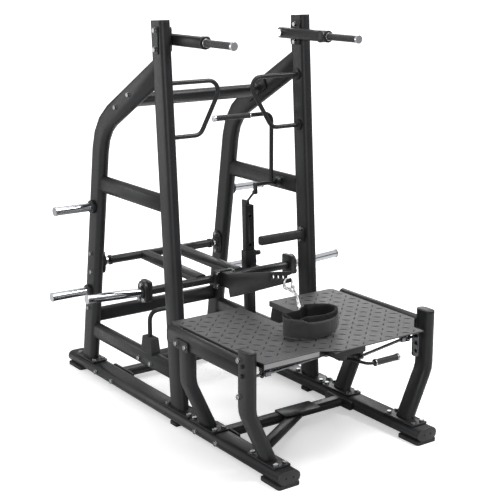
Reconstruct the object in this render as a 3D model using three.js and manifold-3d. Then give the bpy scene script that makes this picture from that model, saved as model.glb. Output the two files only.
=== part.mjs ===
import * as THREE from 'three';
import { mergeVertices } from 'three/addons/utils/BufferGeometryUtils.js';
import Module from 'manifold-3d';

// A belt squat machine in millimetres: X to its right, Y to its rear, Z up.
// Places are measured on the centre plane, from the rails' front ends and from the floor.

const wasm = await Module();
wasm.setup();

const LEFT = -1;
const RIGHT = 1;
const SIDES = { left: LEFT, right: RIGHT };
const X = new THREE.Vector3(1, 0, 0);
const Y = new THREE.Vector3(0, 1, 0);
const Z = new THREE.Vector3(0, 0, 1);

// General sizes
const gap = 0.3;
const wall = 3;
const slack = 2;
const through = 9;
const edge = 1;
const bendStep = THREE.MathUtils.degToRad(18);
const ovalSteps = 6;
const barSides = 12;
const turnedSides = 16;
const holeSides = 8;
const hexSides = 6;
const domeSteps = 3;
const weld = 0.001;
const vent = 10;

// Frame
const track = 450;
const length = 2190;
const rail = { wide: 130, tall: 65, foot: 19, cap: 8, plug: 16 };
const endFoot = { wide: 131, deep: 158, round: 14 };
const middleFoot = { y: 974, wide: 104, deep: 62 };
const base = { wide: 100, thick: 8, round: 10, boltInset: 22, boltSpread: 28 };
const post = { wide: 62, tall: 130, cap: 8 };
const frontUpright = { footY: 989, footZ: 100, headY: 1119, headZ: 2144, plateFront: 828, plateRear: 1087 };
const rearUpright = {
  footY: 2002, footZ: 130, cornerY: 1779, cornerZ: 1534, headY: 1112, headZ: 1911.5, bend: 300,
  plateFront: 1888, plateRear: 2114,
};
const sideBeam = { wide: 50, tall: 100, upperZ: 1197, lowerZ: 280 };
const crossFlange = { thick: 12, long: 186, tall: 62, round: 12 };
const topCross = { y: 1485, z: 1704, wide: 100, tall: 60, flange: 210, boltSpread: 84 };
const rearCross = { z: 362, wide: 50, tall: 89 };
const midCross = { y: 1313, z: 266, wide: 130, tall: 66, boltSpread: 63 };
const floorCross = { rearY: 1734, frontY: 637, z: 51, wide: 84, tall: 50, flange: 230, boltSpread: 97 };
const brace = { startX: 60, startY: 610, endX: -392, endY: 330, wide: 70, tall: 44 };
const gusset = { left: -46, right: 190, front: 560, rear: 672, thick: 8 };
const leg = {
  wide: 110, tall: 60, out: 575, bendZ: 352, bend: 130, frontY: 176, topZ: 668, dome: 12, middleY: 700,
  boltDrop: 24,
};
const legPlate = { long: 236, frontY: 171, middleY: 700 };
const latch = { y: 199, front: 168, rear: 232, bottom: 404, top: 556, thick: 8, bore: 22, holes: [521, 481, 438] };
const platformBeam = { out: 577, z: 571, wide: 50, tall: 100, rear: 850, dome: 8 };
const upperBoss = { y: 1268, z: 1195, diameter: 58, long: 30 };

// Platform
const deck = {
  top: 615, plate: 6, half: 537, front: 36, setFront: 102, rear: 910, cornerCut: 63, cornerSide: 9,
  rearRound: 28, roundSteps: 4,
  setInnerX: -197, setOuterX: -110, notchLeft: -100, notchRight: 92, notchFront: 562, skirt: 30,
  sheet: 4,
};
const deckFrame = {
  barX: 496, wide: 40, tall: 34, front: 112, rear: 892, notchBar: 126, crossY: 470, crossDeep: 50,
};
const deckPivot = { y: 806, z: 596, diameter: 26 };
const guide = { x: 470, thick: 8, half: 18, bottom: 502, bore: 19 };
const lock = {
  pivotX: 15, pivotY: 184, z: 521, pinX: 58, pinY: 56, crank: 7, eye: 26, rod: 12, bolt: 14, boltTip: 543,
  clevisX: 425, clevis: 26, clevisLong: 34, hub: 30, hubBottom: 504, stud: 16,
  studHead: 6, pin: 12, slotThick: 12, slotSlack: 0.7, slotLong: 28, slotShift: 6.5, yokeWall: 7,
};
const lockHandle = { bar: 16, cornerX: 62, cornerY: 34, gripStart: 96, gripEnd: 252, gripY: 30, grip: 26, bend: 30 };
const frontBracket = { left: -150, right: 45, front: 40, rear: 262, bottom: 579 };
const frontBlock = { left: -220, right: -8, front: 4, rear: 60, bottom: 584, top: 613 };

// Lever
const pivot = { y: 1905, z: 706, tube: 50, half: 362, collar: 60, collarLong: 14, shaft: 30 };
const bearing = { tall: 147, wide: 78, thick: 14, hub: 66, hubLong: 12, bore: 31.4, boltSpread: 56 };
const arm = { rearX: 119, frontX: 129, wide: 62, tall: 52, round: 10, frontZ: 696 };
const crossBar = { y: 1256, z: 687, diameter: 48, half: 474 };
const loadFlange = { deep: 90, tall: 116, thick: 21, round: 14, lift: 6, boltY: 30, boltZ: 42 };
const loadPeg = { diameter: 49, collar: 62, collarLong: 9, tip: 854, rise: 3, cap: 53, capLong: 12 };
const hub = { half: 65, bottom: 640, top: 742, thick: 14, round: 8, boltX: 50, boltZ: 36 };
const nose = {
  root: 50, tip: 12, taperY: 800, endY: 597, bottomRootZ: 652, kneeY: 1137, heelY: 1123, heelZ: 603,
  shoulderY: 1147, shoulderZ: 735, tipY: 643, tipBottomZ: 793, tipTopZ: 860,
};
const hook = { y: 618, z: 834, bore: 25, stepY: 42.7, stepZ: -8.8, mouth: 17, holes: 4 };
const catchPlate = { x: 275, half: 24, rear: 1310, bottom: 668, top: 704, front: 1262 };

// Weight pegs, bumpers and catch
const storage = {
  y: 1855, z: 1055, lowY: 1941, lowZ: 527, diameter: 49, collar: 78, collarLong: 20, long: 250, cap: 53,
  capLong: 12,
};
const bumper = {
  front: 1229, rear: 1345, half: 30, tall: 82, pad: 16, inset: 6, base: 6, barZ: 556, barReach: 190,
};
const hoop = { bar: 25, bend: 60, y: 1290 };
const stop = {
  x: 275, wide: 60, tall: 40, frontY: 1340, atZ: 700, lean: 2, pivotZ: 322, top: 1056, wall: 4, bore: 18,
  holes: [993, 821], earThick: 10, earTall: 58, sideHoles: 4, pitch: 57, pivotPin: 20, pinHead: 10,
  pinHeadDiameter: 30, round: 3,
};
const stopFork = { half: 46, thick: 12, front: 1318, rear: 1372, top: 352 };
const sleeve = { wall: 6, slack: 0.8, bottom: 636, top: 786, round: 4 };
const ledge = { half: 20, tip: 1305.5, nose: 12, lead: 1.5, drop: 0.8, steps: 4 };
const pull = { z: 762, shank: 12, reach: 16, knob: 30, knobLong: 22, neck: 18, boss: 26 };
const handle = {
  shaft: 24, shaftEnd: 258, crank: 43, crankSet: -9.5, crankThick: 12, crankWide: 26, pin: 12,
  barX: 367, bar: 24, topZ: 1597, bend: 45, gripEnd: -20, grip: 30, gripStart: 215, cap: 34, capLong: 10,
};
const link = { bar: 12, eye: 26, thick: 8, footY: 1340, footZ: 1078, x: 244, openSlack: 3 };
const stopLean = THREE.MathUtils.degToRad(stop.lean);
const stopPivotY = stop.frontY + stop.tall / 2 - (stop.atZ - stop.pivotZ) * Math.tan(stopLean);

// Hand holds
const loop = {
  bar: 24, bend: 55, upperZ: 1829, upperX: 72, upperY: 1102, lowerZ: 1548, lowerX: 235, lowerY: 1085,
  flange: 62, flangeThick: 8,
};
const topHandle = {
  plateThick: 10, plateFront: 1074, plateRear: 1150, plateBottom: 1991, plateTop: 2120, round: 12,
  armWide: 46, armTall: 60, armRear: 1216, armRound: 18, armZ: 2053, hubReach: 34, hubY: 792, hub: 64,
  hubLong: 12, grip: 35, gripEnd: 545, cap: 42, capLong: 12, boltY: 1112, boltLowZ: 2006, boltHighZ: 2102,
};
const supportPad = { z: 926, tall: 50, wide: 46, inner: 128, round: 12, flange: 84, flangeThick: 8, boltSpread: 30 };

// Fastener and belt
const bolt = { head: 24, headTall: 11, sink: 2 };
const belt = {
  x: -62, y: 342, reachX: 150, reachY: 94, thick: 18, tall: 124, round: 8, startAngle: 150, endAngle: 441,
  steps: 22, strapTall: 30, strapThick: 8, clipX: -78, clipY: 414, clipZ: 704,
};
const chainLink = {
  bar: 2.8, reach: 8, overlap: 3.6, sides: 5, steps: 8, spread: 30, joinX: -20, joinY: 530, joinZ: 775,
  upper: 5, lower: 5, clear: 12.5,
};

const frontY = (z) => frontUpright.footY
  + (frontUpright.headY - frontUpright.footY) * (z - frontUpright.footZ) / (frontUpright.headZ - frontUpright.footZ);
const rearY = (z) => rearUpright.footY
  + (rearUpright.cornerY - rearUpright.footY) * (z - rearUpright.footZ) / (rearUpright.cornerZ - rearUpright.footZ);
const railTop = rail.foot + rail.tall;
const plateTop = railTop + gap + base.thick;
const at = (x, y, z) => new THREE.Vector3(x, y, z);

// Materials
const paint = new THREE.MeshStandardMaterial({ color: 0x1b1c1e, roughness: 0.45, metalness: 0.4 });
const plastic = new THREE.MeshStandardMaterial({ color: 0x121212, roughness: 0.6, metalness: 0 });
const rubber = new THREE.MeshStandardMaterial({ color: 0x0e0e0e, roughness: 0.85, metalness: 0 });
const chrome = new THREE.MeshStandardMaterial({ color: 0xd8dade, roughness: 0.2, metalness: 1 });
const steel = new THREE.MeshStandardMaterial({ color: 0xb4b6b8, roughness: 0.35, metalness: 1 });
const tread = new THREE.MeshStandardMaterial({ color: 0x3a3a3b, roughness: 0.8, metalness: 0 });
const fabric = new THREE.MeshStandardMaterial({ color: 0x26272a, roughness: 0.9, metalness: 0 });

// Turns a closed three.js geometry into a solid that can be joined and cut.
function solid(geometry) {
  geometry.deleteAttribute('normal');
  geometry.deleteAttribute('uv');
  const merged = mergeVertices(geometry, weld);
  const index = merged.index.array;
  const kept = [];
  for (let i = 0; i < index.length; i += 3) {
    const [a, b, c] = [index[i], index[i + 1], index[i + 2]];
    if (a !== b && b !== c && c !== a) kept.push(a, b, c);
  }
  const vertProperties = new Float32Array(merged.attributes.position.array);
  return new wasm.Manifold(new wasm.Mesh({ numProp: 3, vertProperties, triVerts: new Uint32Array(kept) }));
}

const join = (first, ...others) => others.reduce((whole, piece) => whole.add(piece), first);
const cut = (first, ...others) => others.reduce((whole, piece) => whole.subtract(piece), first);

function add(group, name, body, material) {
  const { vertProperties, triVerts } = body.getMesh();
  const geometry = new THREE.BufferGeometry();
  geometry.setAttribute('position', new THREE.BufferAttribute(new Float32Array(vertProperties), 3));
  geometry.setIndex(new THREE.BufferAttribute(new Uint32Array(triVerts), 1));
  geometry.computeVertexNormals();
  const mesh = new THREE.Mesh(geometry, material);
  mesh.name = name;
  group.add(mesh);
}

// Outlines
function arc(centreX, centreY, radius, from, sweep, steps) {
  const points = [];
  for (let i = 0; i <= steps; i++) {
    const angle = THREE.MathUtils.degToRad(from + sweep * i / steps);
    points.push(new THREE.Vector2(centreX + radius * Math.cos(angle), centreY + radius * Math.sin(angle)));
  }
  return points;
}

function flatOval(wide, tall) {
  const radius = Math.min(wide, tall) / 2;
  const [reachX, reachY] = [wide / 2 - radius, tall / 2 - radius];
  if (wide > tall) return [...arc(reachX, 0, radius, -90, 180, ovalSteps), ...arc(-reachX, 0, radius, 90, 180, ovalSteps)];
  return [...arc(0, reachY, radius, 0, 180, ovalSteps), ...arc(0, -reachY, radius, 180, 180, ovalSteps)];
}

const round = (diameter, sides = barSides) => arc(0, 0, diameter / 2, 0, 360, sides).slice(0, sides);

function roundedBox(left, right, bottom, top, radius, steps = 2) {
  return [
    ...arc(right - radius, bottom + radius, radius, -90, 90, steps),
    ...arc(right - radius, top - radius, radius, 0, 90, steps),
    ...arc(left + radius, top - radius, radius, 90, 90, steps),
    ...arc(left + radius, bottom + radius, radius, 180, 90, steps),
  ];
}

const rectangle = (wide, tall, radius) => roundedBox(-wide / 2, wide / 2, -tall / 2, tall / 2, radius);
const outline = (pairs) => pairs.map(([u, v]) => new THREE.Vector2(u, v));

// A route through corners, each rounded by an arc, with a section plane at every station.
class Route extends THREE.Curve {
  constructor(corners, across, bend) {
    super();
    this.across = across;
    const headings = corners.slice(1).map((corner, i) => corner.clone().sub(corners[i]).normalize());
    this.stations = [{ point: corners[0], heading: headings[0] }];
    for (let i = 1; i < corners.length - 1; i++) this.addBend(corners[i], headings[i - 1], headings[i], bend);
    this.stations.push({ point: corners.at(-1), heading: headings.at(-1) });
  }

  addBend(corner, before, after, bend) {
    const turn = before.angleTo(after);
    const axis = before.clone().cross(after).normalize();
    const start = corner.clone().addScaledVector(before, -bend * Math.tan(turn / 2));
    const centre = start.clone().addScaledVector(axis.clone().cross(before), bend);
    const steps = Math.ceil(turn / bendStep);
    for (let i = 0; i <= steps; i++) {
      const point = start.clone().sub(centre).applyAxisAngle(axis, turn * i / steps).add(centre);
      this.stations.push({ point, heading: before.clone().applyAxisAngle(axis, turn * i / steps) });
    }
  }

  station(share) {
    return this.stations[Math.round(share * (this.stations.length - 1))];
  }

  getPoint(share) {
    return this.station(share).point.clone();
  }

  getPointAt(share) {
    return this.getPoint(share);
  }

  getTangentAt(share) {
    return this.station(share).heading.clone();
  }

  computeFrenetFrames(segments, closed) {
    if (!this.across) return super.computeFrenetFrames(segments, closed);
    const tangents = this.stations.map(({ heading }) => heading.clone());
    const normals = tangents.map(() => this.across.clone());
    const binormals = tangents.map((tangent) => tangent.clone().cross(this.across).normalize());
    return { tangents, normals, binormals };
  }
}

// A bar of the given section along the corners. The section's first direction lies along across.
function bar(corners, section, { across = null, bend = 0, bore = null } = {}) {
  const route = new Route(corners, across, bend);
  const shape = new THREE.Shape(section);
  if (bore) shape.holes.push(new THREE.Path(bore));
  return solid(new THREE.ExtrudeGeometry(shape, { steps: route.stations.length - 1, extrudePath: route }));
}

function ovalTube(corners, { wide, tall }, across, bend = 0) {
  const bore = flatOval(wide - 2 * wall, tall - 2 * wall);
  return bar(corners, flatOval(wide, tall), { across, bend, bore });
}

function ovalCore(corners, { wide, tall }, across, bend = 0) {
  return bar(corners, flatOval(wide + 2 * gap, tall + 2 * gap), { across, bend });
}

const rod = (start, end, diameter, sides = barSides) => bar([start, end], round(diameter, sides), {});

// A plate with its outline in the plane square to the named axis: (y, z), (x, z) or (x, y).
function plate(points, normal, from, to) {
  const geometry = new THREE.ExtrudeGeometry(new THREE.Shape(points), { depth: to - from, bevelEnabled: false });
  const place = new THREE.Matrix4();
  if (normal === 'x') place.makeBasis(Y, Z, X).setPosition(from, 0, 0);
  if (normal === 'y') place.makeBasis(X, Z, Y.clone().negate()).setPosition(0, to, 0);
  if (normal === 'z') place.setPosition(0, 0, from);
  return solid(geometry.applyMatrix4(place));
}

const block = (x0, x1, y0, y1, z0, z1) => plate(outline([[x0, y0], [x1, y0], [x1, y1], [x0, y1]]), 'z', z0, z1);

// A turned piece along an axis from a point. The profile holds radius and distance pairs.
function turned(profile, start, axis, sides = turnedSides) {
  const geometry = new THREE.LatheGeometry(outline(profile), sides);
  geometry.applyQuaternion(new THREE.Quaternion().setFromUnitVectors(Y, axis));
  geometry.translate(start.x, start.y, start.z);
  return solid(geometry);
}

// A hexagon bolt head, set one sink deep in the face it holds.
function boltHead(x, y, z, axis) {
  const place = (height) => at(x, y, z).addScaledVector(axis, height);
  return rod(place(-bolt.sink), place(bolt.headTall), bolt.head, hexSides);
}

const outward = (side) => X.clone().multiplyScalar(side);
const span = (side, near, far) => [Math.min(side * near, side * far), Math.max(side * near, side * far)];

// Filled cores of the frame's tubes, one gap larger than the tubes, cut what butts against them.
function railCore(side) {
  const z = rail.foot + rail.tall / 2;
  return ovalCore([at(side * track, 0, z), at(side * track, length, z)], rail, X);
}

function frontCorners(side) {
  const { footY, footZ, headY, headZ } = frontUpright;
  return [at(side * track, footY - (headY - footY) * footZ / (headZ - footZ), 0), at(side * track, headY, headZ)];
}

function rearCorners(side) {
  const { cornerY, cornerZ, headY, headZ } = rearUpright;
  return [at(side * track, rearY(0), 0), at(side * track, cornerY, cornerZ), at(side * track, headY, headZ)];
}

function legCorners(side, y, topZ) {
  return [at(side * leg.out, y, topZ), at(side * leg.out, y, leg.bendZ), at(side * track, y, railTop)];
}

const frontCore = (side) => ovalCore(frontCorners(side), post, X);
const rearCore = (side) => ovalCore(rearCorners(side), post, X, rearUpright.bend);

function basePlate(side, front, rear) {
  const left = side * track - base.wide / 2;
  const points = roundedBox(left, left + base.wide, front, rear, base.round);
  const heads = [];
  for (const y of [front + base.boltInset, rear - base.boltInset]) {
    for (const spread of [-base.boltSpread, base.boltSpread]) heads.push(boltHead(side * track + spread, y, plateTop, Z));
  }
  return join(plate(points, 'z', railTop + gap, plateTop), ...heads);
}

// Frame pieces
function baseRail(side) {
  const z = rail.foot + rail.tall / 2;
  const centre = side * track;
  const tube = ovalTube([at(centre, rail.cap + gap, z), at(centre, length - rail.cap - gap, z)], rail, X);
  const [reachX, reachY] = [middleFoot.wide / 2, middleFoot.deep / 2];
  const foot = block(centre - reachX, centre + reachX, middleFoot.y - reachY, middleFoot.y + reachY, 0, rail.foot + wall / 2);
  const heads = [];
  for (const y of [floorCross.rearY, floorCross.frontY]) {
    for (const spread of [-floorCross.boltSpread, floorCross.boltSpread]) {
      heads.push(boltHead(centre + side * rail.wide / 2, y + spread, z, outward(side)));
    }
  }
  return join(tube, foot, ...heads);
}

function railCap(side, edge, inward) {
  const z = rail.foot + rail.tall / 2;
  const place = (depth) => at(side * track, edge + inward * depth, z);
  const inset = 2 * wall + 2 * gap;
  const lid = bar([place(0), place(rail.cap)], flatOval(rail.wide, rail.tall), { across: X });
  const plug = flatOval(rail.wide - inset, rail.tall - inset);
  return join(lid, bar([place(rail.cap / 2), place(rail.cap + rail.plug)], plug, { across: X }));
}

function railFoot(side, front) {
  const left = side * track - endFoot.wide / 2;
  const points = roundedBox(left, left + endFoot.wide, front, front + endFoot.deep, endFoot.round);
  return plate(points, 'z', 0, rail.foot - gap);
}

const below = (z) => block(-length, length, 0, length, -length, z);

function frontUprightTube(side) {
  const [foot, head] = frontCorners(side);
  const rise = head.clone().sub(foot).normalize();
  const place = (height) => head.clone().addScaledVector(rise, height);
  const tube = cut(ovalTube([foot, head], post, X), below(plateTop - wall));
  const lid = bar([place(-wall), place(post.cap)], flatOval(post.wide, post.tall), { across: X });
  const whole = join(tube, lid, basePlate(side, frontUpright.plateFront, frontUpright.plateRear));
  return cut(whole, drainHole(side, frontY(plateTop)));
}

// Small holes through a closed tube's base plate or underside let it breathe and drain.
function drainHole(side, y) {
  return rod(at(side * track, y, railTop), at(side * track, y, plateTop + wall), vent, holeSides);
}

function ventHole(y, z) {
  return rod(at(0, y, z - through), at(0, y, z + through), vent, holeSides);
}

const slope = at(0, rearUpright.headY - rearUpright.cornerY, rearUpright.headZ - rearUpright.cornerZ).normalize();
const topCrossPlace = (side, along, x) => at(side * x, topCross.y, topCross.z).addScaledVector(slope, along);

function rearUprightTube(side) {
  const tube = cut(ovalTube(rearCorners(side), post, X, rearUpright.bend), below(plateTop - wall), frontCore(side));
  const heads = [-topCross.boltSpread, topCross.boltSpread].map((along) => {
    const seat = topCrossPlace(side, along, track + post.wide / 2);
    return boltHead(seat.x, seat.y, seat.z, outward(side));
  });
  return join(tube, basePlate(side, rearUpright.plateFront, rearUpright.plateRear), ...heads);
}

function sideBeamTube(side, z) {
  const corners = [at(side * track, frontY(z), z), at(side * track, rearY(z), z)];
  return cut(ovalTube(corners, sideBeam, X), frontCore(side), rearCore(side));
}

function upperSideBeam(side) {
  const beam = sideBeamTube(side, sideBeam.upperZ);
  if (side === LEFT) return beam;
  const face = track - sideBeam.wide / 2;
  const { y, z, diameter, long } = upperBoss;
  const boss = rod(at(face + wall / 2, y, z), at(face - long, y, z), diameter);
  const bore = rod(at(face - wall, y, z), at(face - long - wall, y, z), handle.shaft + slack);
  return cut(join(beam, boss), bore);
}

function lowerSideBeam(side) {
  const heads = [-midCross.boltSpread, midCross.boltSpread].map((spread) => {
    return boltHead(side * (track + sideBeam.wide / 2), midCross.y + spread, midCross.z, outward(side));
  });
  return join(sideBeamTube(side, sideBeam.lowerZ), ...heads);
}

// A tube between two faces at equal distances left and right of the centre plane.
function crossTube(y, z, section, across, face) {
  return ovalTube([at(-face, y, z), at(face, y, z)], section, across);
}

function endFlange(side, y, z, across, { long, tall }, face) {
  const place = (x) => at(side * x, y, z);
  const section = rectangle(long, tall, crossFlange.round);
  return bar([place(face - crossFlange.thick), place(face)], section, { across });
}

function flangedTube(y, z, section, across, flange, face) {
  const tube = crossTube(y, z, section, across, face - crossFlange.thick / 2);
  return join(tube, endFlange(LEFT, y, z, across, flange, face), endFlange(RIGHT, y, z, across, flange, face));
}

function topCrossbeam() {
  const flange = { long: topCross.flange, tall: crossFlange.tall };
  const beam = flangedTube(topCross.y, topCross.z, topCross, slope, flange, track - post.wide / 2 - gap);
  return cut(beam, ventHole(topCross.y, topCross.z - topCross.tall / 2));
}

function rearCrossbeam() {
  return crossTube(rearY(rearCross.z), rearCross.z, rearCross, Y, track - post.wide / 2 - gap);
}

function floorMember(y) {
  const face = track - rail.wide / 2 - gap;
  const flange = { long: floorCross.flange, tall: floorCross.tall };
  const beam = flangedTube(y, floorCross.z, floorCross, Y, flange, face);
  return cut(beam, ventHole(y, floorCross.z - floorCross.tall / 2));
}

function frontFloorMember() {
  const { startX, startY, endX, endY } = brace;
  const strut = ovalTube([at(startX, startY, floorCross.z), at(endX, endY, floorCross.z)], brace, braceAcross());
  const bottom = floorCross.z + floorCross.tall / 2 - wall / 2;
  const points = roundedBox(gusset.left, gusset.right, gusset.front, gusset.rear, gusset.thick);
  const member = floorMember(floorCross.frontY);
  const reach = floorCross.wide / 2;
  const inside = block(-track, track, floorCross.frontY - reach + wall, length, 0, bottom);
  return join(member, cut(strut, railCore(LEFT), inside), plate(points, 'z', bottom, bottom + gusset.thick));
}

function braceAcross() {
  return at(brace.endY - brace.startY, brace.startX - brace.endX, 0).normalize();
}

function midCrossMember() {
  const flange = { long: crossFlange.long, tall: crossFlange.tall };
  const face = track - sideBeam.wide / 2 - gap;
  const tube = flangedTube(midCross.y, midCross.z, midCross, Y, flange, face);
  const root = midCross.z + midCross.tall / 2 - wall / 2;
  const pin = [at(0, stopPivotY, stop.pivotZ), at(length, stopPivotY, stop.pivotZ)];
  const ears = [-1, 1].map((turn) => {
    const [from, to] = span(turn, stopFork.half - stopFork.thick, stopFork.half);
    return block(stop.x + from, stop.x + to, stopFork.front, stopFork.rear, root, stopFork.top);
  });
  const drilled = ears.map((ear) => cut(ear, rod(...pin, stop.pivotPin + slack)));
  return cut(join(tube, ...drilled), ventHole(midCross.y, midCross.z - midCross.tall / 2));
}

function legPlateAt(side, y) {
  return basePlate(side, y - legPlate.long / 2, y + legPlate.long / 2);
}

function dome(wide, tall, height, place) {
  const [reachX, reachY] = [wide - 2 * height, tall - 2 * height];
  const shape = new THREE.Shape(flatOval(reachX, reachY));
  const rounding = { bevelThickness: height, bevelSize: height, bevelSegments: domeSteps };
  return solid(new THREE.ExtrudeGeometry(shape, { depth: wall, ...rounding }).applyMatrix4(place));
}

function middleLeg(side) {
  const tube = ovalTube(legCorners(side, leg.middleY, platformBeam.z), leg, Y, leg.bend);
  return join(cut(tube, below(plateTop - wall), beamCore(side)), legPlateAt(side, legPlate.middleY));
}

function beamCorners(side) {
  const { out, z, rear } = platformBeam;
  return [at(side * out, leg.frontY, z), at(side * out, rear, z)];
}

const beamCore = (side) => ovalCore(beamCorners(side), platformBeam, X);

function frontLeg(side) {
  const corners = legCorners(side, leg.frontY, leg.topZ);
  const tube = cut(ovalTube(corners, leg, Y, leg.bend), below(plateTop - wall));
  const cap = dome(leg.tall, leg.wide, leg.dome, new THREE.Matrix4().setPosition(side * leg.out, leg.frontY, leg.topZ - leg.dome));
  const inner = leg.out - leg.tall / 2;
  const [from, to] = span(side, inner - latch.thick, inner + wall / 2);
  const middle = (latch.front + latch.rear) / 2;
  const points = roundedBox(latch.front, latch.rear, latch.bottom, latch.top, latch.thick);
  const [holeFrom, holeTo] = [at(side * (inner - 2 * latch.thick), middle, 0), at(side * (inner - gap), middle, 0)];
  const holes = latch.holes.map((z) => rod(holeFrom.clone().setZ(z), holeTo.clone().setZ(z), latch.bore));
  const heads = [platformBeam.z - leg.boltDrop, platformBeam.z + leg.boltDrop].map((z) => {
    return boltHead(side * (leg.out + leg.tall / 2), leg.frontY, z, outward(side));
  });
  const latchPlate = cut(plate(points, 'x', from, to), ...holes);
  const whole = join(tube, cap, latchPlate, legPlateAt(side, legPlate.frontY), ...heads);
  return cut(whole, drainHole(side, legPlate.frontY));
}

function platformBeamTube(side) {
  const { out, z, wide, tall, rear } = platformBeam;
  const turn = new THREE.Matrix4().makeBasis(X, Z, Y.clone().negate()).setPosition(side * out, rear + platformBeam.dome, z);
  const core = ovalCore(legCorners(side, leg.frontY, leg.topZ), leg, Y, leg.bend);
  return join(cut(ovalTube(beamCorners(side), platformBeam, X), core), dome(wide, tall, platformBeam.dome, turn));
}

// Platform
function deckOutline(inset) {
  const { half, front, setFront, rear, rearRound, cornerCut, cornerSide, setInnerX, setOuterX } = deck;
  return [
    ...outline([
      [-half + cornerSide + inset, setFront + inset], [setInnerX + inset, setFront + inset],
      [setOuterX + inset, front + inset], [half - inset, front + inset],
    ]),
    ...arc(half - rearRound, rear - rearRound, rearRound - inset, 0, 90, deck.roundSteps),
    ...outline([
      [deck.notchRight + inset, rear - inset], [deck.notchRight + inset, deck.notchFront - inset],
      [deck.notchLeft - inset, deck.notchFront - inset], [deck.notchLeft - inset, rear - inset],
      [-half + inset, rear - inset], [-half + inset, setFront + cornerCut],
    ]),
  ];
}

function platformDeck() {
  const under = deck.top - deck.plate;
  const tray = plate(deckOutline(0), 'z', deck.top - deck.skirt, deck.top);
  const hollow = plate(deckOutline(deck.sheet), 'z', deck.top - deck.skirt - wall, under);
  const { barX, wide, tall, front, rear, notchBar, crossY, crossDeep } = deckFrame;
  const beam = (x0, x1, y0, y1) => block(x0, x1, y0, y1, under - tall, under + wall);
  const bars = [-barX, -notchBar, notchBar, barX].map((x) => beam(x - wide / 2, x + wide / 2, front, rear));
  const crosses = [front + wide / 2, crossY].map((y) => beam(-barX, barX, y - crossDeep / 2, y + crossDeep / 2));
  const { left, right, bottom, front: nearY, rear: farY } = frontBracket;
  const bracket = block(left, right, nearY, farY, bottom, under + wall);
  const lip = block(frontBlock.left, frontBlock.right, frontBlock.front, frontBlock.rear, frontBlock.bottom, frontBlock.top);
  const lugs = Object.values(SIDES).map((side) => {
    const y = deckPivot.y;
    const start = at(side * (barX + wide / 4), y, deckPivot.z);
    return rod(start, at(side * (platformBeam.out - platformBeam.wide / 2 - gap), y, deckPivot.z), deckPivot.diameter);
  });
  const guides = Object.values(SIDES).map((side) => {
    const [from, to] = span(side, guide.x, guide.x + guide.thick);
    const tongue = block(from, to, latch.y - guide.half, latch.y + guide.half, guide.bottom, under);
    return cut(tongue, rod(at(from - wall, latch.y, lock.z), at(to + wall, latch.y, lock.z), guide.bore));
  });
  const studTop = at(lock.pivotX, lock.pivotY, bottom + wall);
  const studFoot = at(lock.pivotX, lock.pivotY, lock.hubBottom - gap);
  const stud = join(rod(studTop, studFoot, lock.stud), rod(studFoot, studFoot.clone().setZ(lock.hubBottom - lock.studHead), lock.hub));
  return join(cut(tray, hollow), ...bars, ...crosses, bracket, lip, ...lugs, ...guides, stud);
}

// The lock lever is built round its own pivot.
function lockLever() {
  const hubTop = frontBracket.bottom - gap - lock.z;
  const hubFoot = lock.hubBottom - lock.z;
  const ring = rod(at(0, 0, hubFoot), at(0, 0, hubTop), lock.hub);
  const crankZ = lock.slotThick / 2 + gap + lock.crank / 2;
  const reach = [at(-lock.pinX, lock.pinY, crankZ), at(lock.pinX, -lock.pinY, crankZ)];
  const crank = bar(reach, rectangle(lock.crank, lock.eye, edge), { across: Z });
  const ends = reach.map((end) => rod(end.clone().setZ(crankZ - lock.crank / 2), end.clone().setZ(crankZ + lock.crank / 2), lock.eye));
  const pins = reach.map((end) => rod(end, end.clone().setZ(-lock.slotThick / 2 - gap), lock.pin));
  const { cornerX, cornerY, gripStart, gripEnd, gripY, grip } = lockHandle;
  const local = (x, y) => at(x - lock.pivotX, y - lock.pivotY, hubFoot + lockHandle.bar / 2);
  const stem = bar([local(lock.pivotX, lock.pivotY), local(cornerX, cornerY), local(gripEnd, gripY)], round(lockHandle.bar), { bend: lockHandle.bend });
  const handleGrip = rod(local(gripStart, gripY), local(gripEnd, gripY), grip);
  const bore = rod(at(0, 0, hubFoot - wall), at(0, 0, hubTop + wall), lock.stud + slack);
  return cut(join(ring, crank, ...ends, ...pins, stem, handleGrip), bore);
}

function lockRod(side) {
  const pinX = lock.pivotX + side * lock.pinX;
  const pinY = lock.pivotY - side * lock.pinY;
  const yokeY = pinY - side * lock.slotShift;
  const [low, high] = [lock.z - lock.slotThick / 2, lock.z + lock.slotThick / 2];
  const [halfX, halfY] = [lock.pin / 2 + lock.slotSlack + lock.yokeWall, lock.slotLong / 2 + lock.yokeWall];
  const yoke = block(pinX - halfX, pinX + halfX, yokeY - halfY, yokeY + halfY, low, high);
  const [slotX, slotY] = [lock.pin / 2 + lock.slotSlack, lock.slotLong / 2];
  const slot = block(pinX - slotX, pinX + slotX, yokeY - slotY, yokeY + slotY, low - wall, high + wall);
  const clevisEnd = at(side * lock.clevisX, latch.y, lock.z);
  const shank = rod(at(pinX + side * (halfX - wall), yokeY, lock.z), clevisEnd, lock.rod);
  const clevis = bar([clevisEnd, at(side * (lock.clevisX + lock.clevisLong), latch.y, lock.z)], rectangle(lock.clevis, lock.clevis, wall), { across: Y });
  const end = rod(clevisEnd, at(side * lock.boltTip, latch.y, lock.z), lock.bolt);
  return join(cut(yoke, slot), shank, clevis, end);
}

// Lever, built round its pivot
const fromPivot = (x, y, z) => at(x, y - pivot.y, z - pivot.z);

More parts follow.
